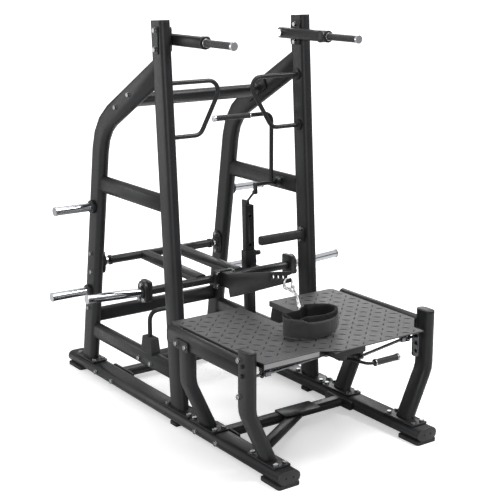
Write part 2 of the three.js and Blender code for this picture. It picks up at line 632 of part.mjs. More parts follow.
function leverFrame() {
  const tube = rod(at(-pivot.half, 0, 0), at(pivot.half, 0, 0), pivot.tube);
  const shaftEnd = track - post.wide / 2 - 2 * gap;
  const shaft = rod(at(-shaftEnd, 0, 0), at(shaftEnd, 0, 0), pivot.shaft, turnedSides);
  const cross = rod(fromPivot(-crossBar.half, crossBar.y, crossBar.z), fromPivot(crossBar.half, crossBar.y, crossBar.z), crossBar.diameter);
  const pieces = [shaft, cross];
  for (const side of Object.values(SIDES)) {
    pieces.push(rod(at(side * (pivot.half - pivot.collarLong), 0, 0), at(side * pivot.half, 0, 0), pivot.collar));
    const along = [at(side * arm.rearX, 0, 0), fromPivot(side * arm.frontX, crossBar.y, arm.frontZ)];
    pieces.push(bar(along, rectangle(arm.wide, arm.tall, arm.round), { across: X }));
    pieces.push(loadPlate(side, crossBar.half, loadFlange.thick));
  }
  const { half, bottom, top, thick, round: corner } = hub;
  const face = crossBar.y - crossBar.diameter / 2 + wall;
  const hubPlate = plate(roundedBox(-half, half, bottom, top, corner), 'y', face - thick, face);
  return join(tube, ...pieces, hubPlate.translate([0, -pivot.y, -pivot.z]));
}

// The plate on the lever's crossbar that rests on the stop post's ledge.
function leverCatch() {
  const { x, half, front, rear, bottom, top } = catchPlate;
  const end = (turn) => at(turn * crossBar.half, crossBar.y, crossBar.z);
  const core = rod(end(LEFT), end(RIGHT), crossBar.diameter + 2 * gap);
  return cut(block(x - half, x + half, front, rear, bottom, top), core).translate([0, -pivot.y, -pivot.z]);
}

function loadPlate(side, from, thick) {
  const [near, far] = span(side, from, from + thick);
  const y = crossBar.y - pivot.y;
  const z = crossBar.z - pivot.z + loadFlange.lift;
  const [halfY, halfZ] = [loadFlange.deep / 2, loadFlange.tall / 2];
  return plate(roundedBox(y - halfY, y + halfY, z - halfZ, z + halfZ, loadFlange.round), 'x', near, far);
}

function loadPegBody(side) {
  const near = crossBar.half + loadFlange.thick + gap;
  const flange = loadPlate(side, near, loadFlange.thick);
  const rise = THREE.MathUtils.degToRad(loadPeg.rise);
  const axis = at(side * Math.cos(rise), 0, Math.sin(rise));
  const face = near + loadFlange.thick;
  const start = fromPivot(side * (face - wall), crossBar.y, crossBar.z);
  const long = (loadPeg.tip - face + wall) / Math.cos(rise);
  const heads = [];
  for (const turnY of [-1, 1]) {
    for (const turnZ of [-1, 1]) {
      const y = crossBar.y + turnY * loadFlange.boltY;
      const z = crossBar.z + loadFlange.lift + turnZ * loadFlange.boltZ;
      heads.push(boltHead(side * face, y - pivot.y, z - pivot.z, outward(side)));
    }
  }
  return join(flange, turned(pegProfile(loadPeg, long), start, axis), ...heads);
}

function pegProfile({ diameter, collar, collarLong, cap, capLong }, long) {
  const chamfer = (cap - diameter) / 2;
  return [
    [0, 0], [collar / 2, 0], [collar / 2, collarLong + wall], [diameter / 2, collarLong + wall],
    [diameter / 2, long - capLong], [cap / 2, long - capLong], [cap / 2, long - chamfer],
    [cap / 2 - chamfer, long], [0, long],
  ];
}

function leverNose() {
  const rootY = crossBar.y - crossBar.diameter / 2 + wall - hub.thick - gap;
  const { half, bottom, top, thick, round: corner } = hub;
  const flange = plate(roundedBox(-half, half, bottom, top, corner), 'y', rootY - thick, rootY);
  const along = (y) => (y - nose.tipY) / (nose.shoulderY - nose.tipY);
  const topZ = (y) => nose.tipTopZ + (nose.shoulderZ - nose.tipTopZ) * along(y);
  const under = (y) => nose.tipBottomZ + (nose.heelZ - nose.tipBottomZ) * (y - nose.tipY) / (nose.heelY - nose.tipY);
  const buried = rootY - thick / 2;
  const side = plate(outline([
    [buried, nose.bottomRootZ], [buried, topZ(nose.shoulderY)], [nose.shoulderY, topZ(nose.shoulderY)],
    [nose.endY, topZ(nose.endY)], [nose.endY, under(nose.endY)], [nose.heelY, nose.heelZ], [nose.kneeY, nose.bottomRootZ],
  ]), 'x', -nose.root / 2, nose.root / 2);
  const wedge = plate(outline([
    [-nose.root / 2, buried], [-nose.root / 2, nose.heelY], [-nose.tip / 2, nose.taperY], [-nose.tip / 2, nose.endY],
    [nose.tip / 2, nose.endY], [nose.tip / 2, nose.taperY], [nose.root / 2, nose.heelY], [nose.root / 2, buried],
  ]), 'z', nose.heelZ, topZ(nose.endY));
  const holes = [];
  for (let i = 0; i < hook.holes; i++) {
    const [y, z] = [hook.y + i * hook.stepY, hook.z + i * hook.stepZ];
    holes.push(rod(at(-nose.root, y, z), at(nose.root, y, z), hook.bore, turnedSides));
  }
  const mouth = bar([at(0, hook.y, hook.z), at(0, hook.y - hook.bore * 2, hook.z + hook.bore)], rectangle(nose.root, hook.mouth, edge), { across: X });
  const heads = [];
  for (const turnX of [-1, 1]) {
    for (const turnZ of [-1, 1]) {
      const z = (bottom + top) / 2 + turnZ * hub.boltZ;
      heads.push(boltHead(turnX * hub.boltX, rootY - thick, z, Y.clone().negate()));
    }
  }
  return join(flange, cut(side.intersect(wedge), ...holes, mouth), ...heads).translate([0, -pivot.y, -pivot.z]);
}

// Pegs, bearings and bumpers on the frame
function storagePeg(side, y, z) {
  const start = at(side * (track + post.wide / 2 + gap), y, z);
  return turned(pegProfile(storage, storage.long), start, outward(side));
}

function pivotBearing(side) {
  const face = track - post.wide / 2 - gap;
  const place = (depth) => at(side * (face - depth), pivot.y, pivot.z);
  const flange = bar([place(bearing.thick), place(0)], flatOval(bearing.wide, bearing.tall), { across: Y });
  const housing = rod(place(bearing.thick + bearing.hubLong), place(bearing.thick / 2), bearing.hub, turnedSides);
  const bore = rod(place(bearing.thick + bearing.hubLong + wall), place(-wall), bearing.bore, turnedSides);
  const seat = side * (face - bearing.thick);
  const heads = [-bearing.boltSpread, bearing.boltSpread].map((spread) => {
    return boltHead(seat, pivot.y, pivot.z + spread, outward(-side));
  });
  return join(cut(join(flange, housing), bore), ...heads);
}

function bumperBlock(side) {
  const centre = side * track;
  const beamZ = sideBeam.lowerZ;
  const core = ovalCore([at(centre, frontY(beamZ), beamZ), at(centre, rearY(beamZ), beamZ)], sideBeam, X);
  const seat = beamZ + sideBeam.tall / 2;
  const { front, rear, half, tall, pad, inset, base: foot } = bumper;
  const shoe = block(centre - half, centre + half, front, rear, seat - 3 * foot, seat + foot);
  const body = block(centre - half + inset, centre + half - inset, front + inset, rear - inset, seat, seat + tall - pad);
  const top = block(centre - half, centre + half, front, rear, seat + tall - pad, seat + tall);
  const stack = cut(join(shoe, body, top), core);
  if (side === RIGHT) return stack;
  const corners = [at(centre, hoop.y, seat + foot), at(centre, hoop.y, bumper.barZ), at(centre + bumper.barReach, hoop.y, bumper.barZ)];
  return join(stack, bar(corners, round(hoop.bar), { bend: hoop.bend }));
}

// Catch, built round the stop post's pivot and leaning with the post
function stopPost() {
  const rise = stop.top - stop.pivotZ;
  const [wide, tall] = [stop.wide, stop.tall];
  const bore = rectangle(wide - 2 * stop.wall, tall - 2 * stop.wall, edge);
  const tube = bar([at(0, 0, edge - tall / 2), at(0, 0, rise)], rectangle(wide, tall, stop.round), { across: X, bore });
  const reach = stopFork.half + gap;
  const pin = rod(at(-reach, 0, 0), at(reach, 0, 0), stop.pivotPin);
  const ends = [-1, 1].map((turn) => rod(at(turn * reach, 0, 0), at(turn * (reach + stop.pinHead), 0, 0), stop.pinHeadDiameter));
  const frontHoles = stop.holes.map((z) => rod(at(0, -tall, z - stop.pivotZ), at(0, 0, z - stop.pivotZ), stop.bore));
  const sideHoles = [];
  for (let i = 0; i < stop.sideHoles; i++) {
    const z = pull.z - stop.pivotZ - i * stop.pitch;
    sideHoles.push(rod(at(0, 0, z), at(wide, 0, z), pull.shank + slack));
  }
  const foot = linkFoot();
  const [half, thick] = [link.eye / 2, stop.earThick];
  const left = -wide / 2 + gap;
  const ear = block(left, left + thick, foot.y - half, 0, foot.z - half, foot.z + half);
  const root = block(left, left + thick, edge - tall / 2, tall / 2 - edge, rise - stop.earTall, foot.z + half);
  const earPin = rod(at(left + thick / 2, foot.y, foot.z), at(link.x - link.thick - stop.x, foot.y, foot.z), handle.pin);
  return join(cut(tube, ...frontHoles, ...sideHoles), pin, ...ends, ear, root, earPin);
}

// The link's lower pin, in the leaning post's own frame.
function linkFoot() {
  return at(0, link.footY - stopPivotY, link.footZ - stop.pivotZ).applyAxisAngle(X, stopLean);
}

function stopSleeve() {
  const inner = [stop.wide + 2 * sleeve.slack, stop.tall + 2 * sleeve.slack];
  const section = rectangle(inner[0] + 2 * sleeve.wall, inner[1] + 2 * sleeve.wall, sleeve.round);
  const [foot, top] = [sleeve.bottom - stop.pivotZ, sleeve.top - stop.pivotZ];
  const body = bar([at(0, 0, foot), at(0, 0, top)], section, { across: X, bore: rectangle(...inner, edge) });
  const pinZ = pull.z - stop.pivotZ;
  const outer = inner[0] / 2 + sleeve.wall;
  const boss = rod(at(outer - wall, 0, pinZ), at(outer + pull.neck, 0, pinZ), pull.boss);
  const bore = rod(at(0, 0, pinZ), at(outer + 2 * pull.neck, 0, pinZ), pull.shank + slack);
  return cut(join(body, boss), bore);
}

// The ledge under the lever's catch plate. Its top is struck about the post's pivot, with a lead at its tip.
function stopLedge() {
  const radius = Math.hypot(catchPlate.rear - stopPivotY, catchPlate.bottom - stop.pivotZ) - ledge.drop;
  const rootAngle = Math.asin((stop.tall / 2 + sleeve.slack + sleeve.wall + gap) / radius);
  const tipAngle = Math.asin((stopPivotY - ledge.tip - ledge.lead) / radius) + stopLean;
  const crown = [];
  for (let i = 0; i <= ledge.steps; i++) {
    const angle = tipAngle + (rootAngle - tipAngle) * i / ledge.steps;
    crown.push([-radius * Math.sin(angle), radius * Math.cos(angle)]);
  }
  const [front, rear] = [crown[0][0] - ledge.lead, crown.at(-1)[0]];
  const top = crown[0][1];
  const edges = [...crown, [rear, sleeve.bottom - stop.pivotZ], [front, top - ledge.nose], [front, top - ledge.lead]];
  return plate(outline(edges), 'x', -ledge.half, ledge.half);
}

function pullPin() {
  const outer = stop.wide / 2 + sleeve.slack + sleeve.wall + pull.neck + 2 * gap;
  const z = pull.z - stop.pivotZ;
  const shank = rod(at(pull.reach, 0, z), at(outer + wall, 0, z), pull.shank);
  return join(shank, rod(at(outer, 0, z), at(outer + pull.knobLong, 0, z), pull.knob));
}

// Release handle, built round its shaft
const crankPin = at(0, 0, -handle.crank).applyAxisAngle(X, THREE.MathUtils.degToRad(handle.crankSet));

function releaseHandle() {
  const face = track - sideBeam.wide / 2;
  const shaft = rod(at(handle.shaftEnd - handle.crankThick, 0, 0), at(face - wall, 0, 0), handle.shaft);
  const middle = handle.shaftEnd - handle.crankThick / 2;
  const section = rectangle(handle.crankThick, handle.crankWide, edge);
  const crank = bar([at(middle, 0, 0), crankPin.clone().setX(middle)], section, { across: X });
  const ends = [at(0, 0, 0), crankPin].map((end) => {
    return rod(end.clone().setX(handle.shaftEnd - handle.crankThick), end.clone().setX(handle.shaftEnd), handle.crankWide);
  });
  const pin = rod(crankPin.clone().setX(middle), crankPin.clone().setX(link.x - link.thick - gap), handle.pin);
  const rise = handle.topZ - upperBoss.z;
  const stem = bar([at(handle.barX, 0, 0), at(handle.barX, 0, rise), at(handle.gripEnd, 0, rise)], round(handle.bar), { bend: handle.bend });
  const sleeveStart = at(handle.gripStart, 0, rise);
  const capStart = at(handle.gripEnd, 0, rise);
  const grip = rod(sleeveStart, capStart, handle.grip);
  const cap = rod(capStart, at(handle.gripEnd - handle.capLong, 0, rise), handle.cap);
  return join(shaft, crank, ...ends, pin, stem, grip, cap);
}

function releaseLink() {
  const foot = at(0, link.footY - upperBoss.y, link.footZ - upperBoss.z).sub(crankPin);
  const [near, far] = [link.x - link.thick, link.x];
  const eyes = [at(0, 0, 0), foot].map((end) => rod(end.clone().setX(near), end.clone().setX(far), link.eye));
  const middle = (near + far) / 2;
  const section = rectangle(link.thick, link.bar, edge);
  const shank = bar([at(middle, 0, 0), foot.clone().setX(middle)], section, { across: X });
  const reach = [near - wall, far + wall];
  const pivotBore = rod(at(reach[0], 0, 0), at(reach[1], 0, 0), handle.pin + slack);
  const openBore = rod(foot.clone().setX(reach[0]), foot.clone().setX(reach[1]), handle.pin + link.openSlack);
  return cut(join(...eyes, shank), pivotBore, openBore);
}

// Hand holds
function handLoop(side) {
  const face = side * (track - post.wide / 2 - gap);
  const [upper, lower] = [at(face, loop.upperY, loop.upperZ), at(face, loop.lowerY, loop.lowerZ)];
  const corners = [upper, at(side * loop.upperX, loop.upperY, loop.upperZ), at(side * loop.lowerX, loop.lowerY, loop.lowerZ), lower];
  const flanges = [upper, lower].map((end) => rod(end, end.clone().setX(face - side * loop.flangeThick), loop.flange, turnedSides));
  return join(bar(corners, round(loop.bar), { bend: loop.bend }), ...flanges);
}

function topHandleArm(side) {
  const inner = track - post.wide / 2 - gap;
  const { plateThick, plateFront, plateRear, plateBottom, plateTop, round: corner } = topHandle;
  const [from, to] = span(side, inner - plateThick, inner);
  const mount = plate(roundedBox(plateFront, plateRear, plateBottom, plateTop, corner), 'x', from, to);
  const x = side * (inner - plateThick + wall - topHandle.armWide / 2);
  const place = (y) => at(x, y, topHandle.armZ);
  const section = rectangle(topHandle.armWide, topHandle.armTall, topHandle.armRound);
  const arm = bar([place(topHandle.armRear), place(topHandle.hubY)], section, { across: X });
  const hubInner = place(topHandle.hubY + topHandle.hub / 2).setX(x - side * topHandle.hubReach);
  const knuckle = rod(place(topHandle.hubY + topHandle.hub / 2), hubInner, topHandle.hub, turnedSides);
  const disc = rod(place(topHandle.hubY + topHandle.hubLong), place(topHandle.hubY), topHandle.hub, turnedSides);
  const grip = rod(place(topHandle.hubY), place(topHandle.gripEnd), topHandle.grip);
  const cap = rod(place(topHandle.gripEnd + topHandle.capLong), place(topHandle.gripEnd), topHandle.cap);
  const heads = [topHandle.boltLowZ, topHandle.boltHighZ].map((z) => boltHead(side * (inner - plateThick), topHandle.boltY, z, outward(-side)));
  return join(mount, arm, knuckle, disc, grip, cap, ...heads);
}

function sideSupportPad() {
  const { z, tall, wide, inner, flange, flangeThick } = supportPad;
  const face = track - post.wide / 2 - gap;
  const y = frontY(z);
  const pad = bar([at(inner, y, z), at(face - wall, y, z)], rectangle(tall, wide, supportPad.round), { across: Z });
  const mount = bar([at(face - flangeThick, y, z), at(face, y, z)], rectangle(flange, wide + flangeThick, wall), { across: Z });
  const heads = [-supportPad.boltSpread, supportPad.boltSpread].map((drop) => boltHead(face - flangeThick, y, z + drop, outward(LEFT)));
  return join(pad, mount, ...heads);
}

// Chain and belt, built round the hook's hole
const fromHook = (x, y, z) => at(x, y - hook.y, z - hook.z);

// An oval link about its own centre: half a turn of ring at each end and straight sides between.
function oneLink(reach, stretch, thick) {
  const ring = new THREE.TorusGeometry(reach, thick, chainLink.sides, chainLink.steps).rotateZ(Math.PI / chainLink.steps);
  const places = ring.attributes.position;
  for (let i = 0; i < places.count; i++) places.setY(i, places.getY(i) + Math.sign(places.getY(i)) * stretch);
  return solid(ring);
}

const placed = (body, matrix) => body.transform(matrix.toArray());

// Links fused end to end from start to finish, each turned a quarter from the one before.
function strand(start, finish, count) {
  const fall = finish.clone().sub(start).normalize();
  const pitch = start.distanceTo(finish) / count;
  const { bar: thick, reach, overlap } = chainLink;
  const stretch = (pitch + overlap) / 2 - reach;
  const across = Y.clone().cross(fall).normalize();
  const links = [];
  for (let i = 0; i < count; i++) {
    const right = i % 2 === 0 ? across : across.clone().cross(fall);
    const centre = start.clone().addScaledVector(fall, pitch * (2 * i + 1) / 2);
    const place = new THREE.Matrix4().makeBasis(right, fall, right.clone().cross(fall)).setPosition(centre);
    links.push(placed(oneLink(reach, stretch, thick), place));
  }
  return join(...links);
}

function chain() {
  const hang = hook.z - hook.bore / 2 + chainLink.bar + gap;
  const ends = Object.values(SIDES).map((side) => fromHook(side * chainLink.spread, hook.y, hang));
  const meet = fromHook(chainLink.joinX, chainLink.joinY, chainLink.joinZ);
  const clip = fromHook(belt.clipX, belt.clipY, belt.clipZ + belt.strapTall / 2 + chainLink.clear);
  const cross = rod(ends[0], ends[1], 2 * chainLink.bar, holeSides);
  return join(cross, ...ends.map((end) => strand(end, meet, chainLink.upper)), strand(meet, clip, chainLink.lower));
}

function beltBand() {
  const points = [];
  for (let i = 0; i <= belt.steps; i++) {
    const angle = THREE.MathUtils.degToRad(belt.startAngle + (belt.endAngle - belt.startAngle) * i / belt.steps);
    points.push(fromHook(belt.x + belt.reachX * Math.cos(angle), belt.y + belt.reachY * Math.sin(angle), deck.top + gap + belt.tall / 2));
  }
  const path = new THREE.CatmullRomCurve3(points);
  const section = new THREE.Shape(rectangle(belt.tall, belt.thick, belt.round));
  const band = solid(new THREE.ExtrudeGeometry(section, { steps: belt.steps, extrudePath: path }));
  const clip = fromHook(belt.clipX, belt.clipY, belt.clipZ);
  const straps = [points[0], points.at(-1)].map((end) => {
    const start = end.clone().setZ(clip.z);
    return bar([start, clip], rectangle(belt.strapTall, belt.strapThick, edge), { across: Z });
  });
  return join(band, ...straps);
}

// The machine stands with the middle of its base at the origin.
const machine = new THREE.Group();
machine.position.y = -length / 2;

for (const [name, side] of Object.entries(SIDES)) {
  add(machine, `base_rail_${name}`, baseRail(side), paint);
  add(machine, `rail_cap_front_${name}`, railCap(side, 0, 1), plastic);
  add(machine, `rail_cap_rear_${name}`, railCap(side, length, -1), plastic);
  add(machine, `foot_front_${name}`, railFoot(side, 0), rubber);
  add(machine, `foot_rear_${name}`, railFoot(side, length - endFoot.deep), rubber);
  add(machine, `front_upright_${name}`, frontUprightTube(side), paint);
  add(machine, `rear_upright_${name}`, rearUprightTube(side), paint);
  add(machine, `upper_side_beam_${name}`, upperSideBeam(side), paint);
  add(machine, `lower_side_beam_${name}`, lowerSideBeam(side), paint);
  add(machine, `middle_leg_${name}`, middleLeg(side), paint);
  add(machine, `front_leg_${name}`, frontLeg(side), paint);
  add(machine, `platform_beam_${name}`, platformBeamTube(side), paint);
  add(machine, `storage_peg_upper_${name}`, storagePeg(side, storage.y, storage.z), chrome);
  add(machine, `storage_peg_lower_${name}`, storagePeg(side, storage.lowY, storage.lowZ), chrome);
  add(machine, `pivot_bearing_${name}`, pivotBearing(side), steel);
  add(machine, `bumper_${name}`, bumperBlock(side), rubber);
  add(machine, `hand_loop_${name}`, handLoop(side), paint);
  add(machine, `top_handle_${name}`, topHandleArm(side), paint);
  add(machine, `lock_rod_${name}`, lockRod(side), steel);
}
add(machine, 'top_crossbeam', topCrossbeam(), paint);
add(machine, 'rear_crossbeam', rearCrossbeam(), paint);
add(machine, 'rear_floor_member', floorMember(floorCross.rearY), paint);
add(machine, 'front_floor_member', frontFloorMember(), paint);
add(machine, 'mid_cross_member', midCrossMember(), paint);
add(machine, 'platform', platformDeck(), tread);
add(machine, 'side_support_pad', sideSupportPad(), rubber);

const lockGroup = new THREE.Group();
lockGroup.position.set(lock.pivotX, lock.pivotY, lock.z);
add(lockGroup, 'lock_lever', lockLever(), paint);

const leverGroup = new THREE.Group();
leverGroup.position.set(0, pivot.y, pivot.z);
add(leverGroup, 'lever_frame', leverFrame(), paint);
add(leverGroup, 'lever_nose', leverNose(), paint);
add(leverGroup, 'lever_catch', leverCatch(), paint);
for (const [name, side] of Object.entries(SIDES)) add(leverGroup, `load_peg_${name}`, loadPegBody(side), chrome);

const stopGroup = new THREE.Group();
stopGroup.position.set(stop.x, stopPivotY, stop.pivotZ);
stopGroup.rotation.x = -stopLean;
add(stopGroup, 'stop_post', stopPost(), paint);
add(stopGroup, 'stop_sleeve', stopSleeve(), paint);
add(stopGroup, 'stop_ledge', stopLedge(), paint);
add(stopGroup, 'pull_pin', pullPin(), plastic);

const handleGroup = new THREE.Group();
handleGroup.position.set(0, upperBoss.y, upperBoss.z);
add(handleGroup, 'release_handle', releaseHandle(), paint);
const linkGroup = new THREE.Group();
linkGroup.position.copy(crankPin);
add(linkGroup, 'release_link', releaseLink(), paint);
handleGroup.add(linkGroup);

const hookGroup = new THREE.Group();
hookGroup.position.set(0, hook.y, hook.z);
add(hookGroup, 'chain', chain(), steel);
add(hookGroup, 'belt', beltBand(), fabric);

machine.add(lockGroup, leverGroup, stopGroup, handleGroup, hookGroup);

export default machine;
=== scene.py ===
import math

import bmesh
import bpy
import numpy as np
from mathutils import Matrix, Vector


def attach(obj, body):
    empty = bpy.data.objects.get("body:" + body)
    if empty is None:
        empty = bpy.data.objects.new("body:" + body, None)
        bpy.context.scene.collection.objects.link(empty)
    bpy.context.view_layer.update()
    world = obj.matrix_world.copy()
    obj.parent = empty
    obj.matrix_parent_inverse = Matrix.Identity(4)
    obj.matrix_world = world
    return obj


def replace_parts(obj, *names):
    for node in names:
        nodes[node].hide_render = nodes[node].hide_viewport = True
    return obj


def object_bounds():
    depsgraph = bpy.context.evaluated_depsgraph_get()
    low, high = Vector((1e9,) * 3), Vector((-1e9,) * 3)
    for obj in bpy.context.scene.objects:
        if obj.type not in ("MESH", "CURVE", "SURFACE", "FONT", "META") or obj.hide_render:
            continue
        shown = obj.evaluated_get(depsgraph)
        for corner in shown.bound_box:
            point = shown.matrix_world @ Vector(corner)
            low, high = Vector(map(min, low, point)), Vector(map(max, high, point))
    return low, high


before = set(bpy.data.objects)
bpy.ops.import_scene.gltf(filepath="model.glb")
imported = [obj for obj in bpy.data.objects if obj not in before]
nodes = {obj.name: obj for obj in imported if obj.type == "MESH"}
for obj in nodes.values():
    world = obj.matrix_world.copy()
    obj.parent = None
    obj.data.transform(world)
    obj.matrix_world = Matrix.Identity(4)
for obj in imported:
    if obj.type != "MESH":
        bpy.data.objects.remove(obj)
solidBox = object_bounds()

# Sizes are millimetres: x to the machine's right, y from the rails' front ends, z from the floor.
mm = 0.001
railFront = solidBox[0][1]
sides = {"left": -1, "right": 1}
xAxis, yAxis, zAxis = np.eye(3)
core = 0.1  # radius of the small flat that closes a turned form's ends
mergeGap = 1e-6  # metres


# Numbers as an array of floats.
def vec(values):
    return np.asarray(values, float)


# A place in the machine's millimetres becomes metres in the frame.
def toFrame(points):
    return vec(points) * mm + np.array([0.0, railFront, 0.0])


# Two distances on one side of the machine, the lower first.
def span(side, near, far):
    return sorted((side * near, side * far))


# Data made an object of the scene.
def addObject(name, data):
    made = bpy.data.objects.new(name, data)
    bpy.context.scene.collection.objects.link(made)
    return made


# The camera stands at the photograph's angle; its focal length is counted in sensor widths.
cameraSetup = {"place": (-3595, -4098, 2500), "yaw": 35.39, "pitch": 14.37, "sensor": 36.0, "focal": 2.346,
               "reach": 100}


# The camera looks along the yaw, then down by the pitch.
def makeCamera(place, yaw, pitch, sensor, focal, reach):
    data = bpy.data.cameras.new("camera")
    data.sensor_fit = "HORIZONTAL"
    data.sensor_width = sensor
    data.lens = sensor * focal
    data.clip_end = reach
    camera = addObject("camera", data)
    camera.location = toFrame(place)
    camera.rotation_euler = (math.radians(90 - pitch), 0, -math.radians(yaw))
    bpy.context.scene.camera = camera


makeCamera(**cameraSetup)


# A shader node: its settings made, its inputs set or linked.
def addNode(tree, kind, inputs=None, **settings):
    node = tree.nodes.new(kind)
    for name, value in settings.items():
        setattr(node, name, value)
    for name, value in (inputs or {}).items():
        if isinstance(value, bpy.types.NodeSocket):
            tree.links.new(value, node.inputs[name])
        else:
            node.inputs[name].default_value = value
    return node


# Node work for one Principled material.
class Finish:
    def __init__(self, name, colour, roughness, metallic=0.0):
        self.data = bpy.data.materials.new(name)
        self.data.use_nodes = True
        self.tree = self.data.node_tree
        self.shader = self.tree.nodes["Principled BSDF"]
        self.setting("Base Color", (*colour, 1))
        self.setting("Roughness", roughness)
        self.setting("Metallic", metallic)
        self.places = self.node("ShaderNodeTexCoord").outputs["Object"]
        self.normal = None

    def setting(self, socket, value):
        self.shader.inputs[socket].default_value = value

    def node(self, kind, inputs=None, **settings):
        return addNode(self.tree, kind, inputs, **settings)

    def turned(self, scale, turn=(0, 0, 0)):
        inputs = {"Vector": self.places, "Scale": scale, "Rotation": turn}
        return self.node("ShaderNodeMapping", inputs).outputs["Vector"]

    def noise(self, scale, detail=3.0, source=None):
        inputs = {"Vector": source or self.places, "Scale": scale, "Detail": detail}
        return self.node("ShaderNodeTexNoise", inputs).outputs["Fac"]

    def spread(self, value, low, high, start=0.3, end=0.7):
        inputs = {"Value": value, "From Min": start, "From Max": end, "To Min": low, "To Max": high}
        return self.node("ShaderNodeMapRange", inputs).outputs["Result"]

    def colours(self, share, first, second):
        inputs = {0: share, 6: (*first, 1), 7: (*second, 1)}
        return self.node("ShaderNodeMix", inputs, data_type="RGBA").outputs[2]

    def drive(self, socket, output):
        self.tree.links.new(output, self.shader.inputs[socket])

    def bump(self, height, strength, distance):
        inputs = {"Height": height, "Strength": strength, "Distance": distance}
        if self.normal:
            inputs["Normal"] = self.normal
        self.normal = self.node("ShaderNodeBump", inputs).outputs["Normal"]
        self.drive("Normal", self.normal)


# Cloud is a noise scale and the two colours it mixes, polish a noise scale and two roughnesses. Each grain
# is a noise scale, its detail, a stretch, and the bump's strength and depth; a knurl is two crossed waves.
finishPlan = {
    "powderCoat": {
        "slot": "black_paint", "colour": (0.011, 0.0115, 0.0125), "roughness": 0.4,
        "cloud": (5.0, (0.009, 0.0094, 0.0104), (0.014, 0.0145, 0.016)), "polish": (60.0, 0.32, 0.44),
        "grain": [(1100.0, 2.0, None, 0.14, 0.0004)], "sockets": {"Specular IOR Level": 0.3}},
    "deckCoat": {
        "slot": "tread_paint", "colour": (0.06, 0.06, 0.062), "roughness": 0.55,
        "cloud": (7.0, (0.035, 0.035, 0.037), (0.049, 0.049, 0.051)), "polish": (90.0, 0.48, 0.64),
        "grain": [(900.0, 3.0, None, 0.3, 0.0005)]},
    # The tread lenses are part of the deck plate; their darker colour is painted shade.
    "paintedTreadShade": {
        "slot": "tread_paint", "colour": (0.007, 0.007, 0.0075), "roughness": 0.6,
        "polish": (120.0, 0.5, 0.7), "grain": [(900.0, 3.0, None, 0.3, 0.0004)],
        "sockets": {"Specular IOR Level": 0.25}},
    # The front run of the folded skirt is coloured lighter than the rest of the plate: a painted highlight.
    "paintedSkirtHighlight": {
        "slot": "tread_paint", "colour": (0.26, 0.26, 0.265), "roughness": 0.5,
        "polish": (40.0, 0.42, 0.58), "grain": [(900.0, 3.0, None, 0.2, 0.0004)]},
    # Near-black, for painted shade in holes, slits and recesses.
    "paintedRecessShade": {
        "slot": "black_plastic", "colour": (0.004, 0.004, 0.004), "roughness": 0.9,
        "polish": (90.0, 0.85, 0.95)},
    "blackPlastic": {
        "slot": "black_plastic", "colour": (0.014, 0.014, 0.015), "roughness": 0.5,
        "polish": (240.0, 0.42, 0.58), "grain": [(1600.0, 1.0, None, 0.12, 0.0003)]},
    "blackRubber": {
        "slot": "black_rubber", "colour": (0.014, 0.014, 0.014), "roughness": 0.75,
        "cloud": (30.0, (0.010, 0.010, 0.010), (0.020, 0.020, 0.020)),
        "grain": [(700.0, 4.0, None, 0.3, 0.0006)]},
    "chromePlate": {
        "slot": "bright_chrome", "colour": (0.47, 0.48, 0.5), "roughness": 0.08, "metallic": 1.0,
        "polish": (14.0, 0.05, 0.12), "grain": [(900.0, 2.0, (0.02, 1, 1), 0.03, 0.0002)]},
    "zincPlate": {
        "slot": "bright_steel", "colour": (0.22, 0.225, 0.23), "roughness": 0.24, "metallic": 1.0,
        "cloud": (180.0, (0.15, 0.155, 0.16), (0.3, 0.306, 0.312)), "polish": (300.0, 0.16, 0.3)},
    "nickelPlate": {
        "slot": "bright_steel", "colour": (0.72, 0.72, 0.73), "roughness": 0.28, "metallic": 1.0,
        "cloud": (120.0, (0.62, 0.62, 0.63), (0.82, 0.82, 0.83)), "polish": (260.0, 0.22, 0.36)},
    "darkSteel": {
        "slot": "bright_steel", "colour": (0.16, 0.165, 0.175), "roughness": 0.25, "metallic": 1.0,
        "cloud": (60.0, (0.12, 0.124, 0.132), (0.2, 0.206, 0.218)), "polish": (200.0, 0.18, 0.32)},
    "knurledSteel": {
        "slot": "black_rubber", "colour": (0.022, 0.022, 0.024), "roughness": 0.4, "metallic": 0.3,
        "polish": (80.0, 0.32, 0.48),
        "knurl": {"turns": (34, -34), "scale": 110.0, "strength": 0.45, "depth": 0.0008}},
    "beltLining": {
        "slot": "belt_fabric", "colour": (0.012, 0.012, 0.013), "roughness": 0.9,
        "cloud": (26.0, (0.009, 0.009, 0.010), (0.016, 0.016, 0.017)), "sockets": {"Specular IOR Level": 0.2},
        "grain": [(1.0, 1.0, (1300, 1300, 160), 0.3, 0.0006), (1.0, 1.0, (160, 160, 1300), 0.3, 0.0006)]},
    "beltCloth": {
        "slot": "belt_fabric", "colour": (0.03, 0.03, 0.032), "roughness": 0.85,
        "cloud": (22.0, (0.018, 0.018, 0.0195), (0.029, 0.029, 0.031)),
        "grain": [(1.0, 1.0, (1500, 1500, 120), 0.35, 0.0006), (1.0, 1.0, (120, 120, 1500), 0.35, 0.0006)],
        "sockets": {"Sheen Weight": 0.2, "Sheen Roughness": 0.5}},
    "sewingThread": {
        "slot": "belt_fabric", "colour": (0.075, 0.075, 0.078), "roughness": 0.7,
        "grain": [(2500.0, 1.0, None, 0.3, 0.0003)]},
}


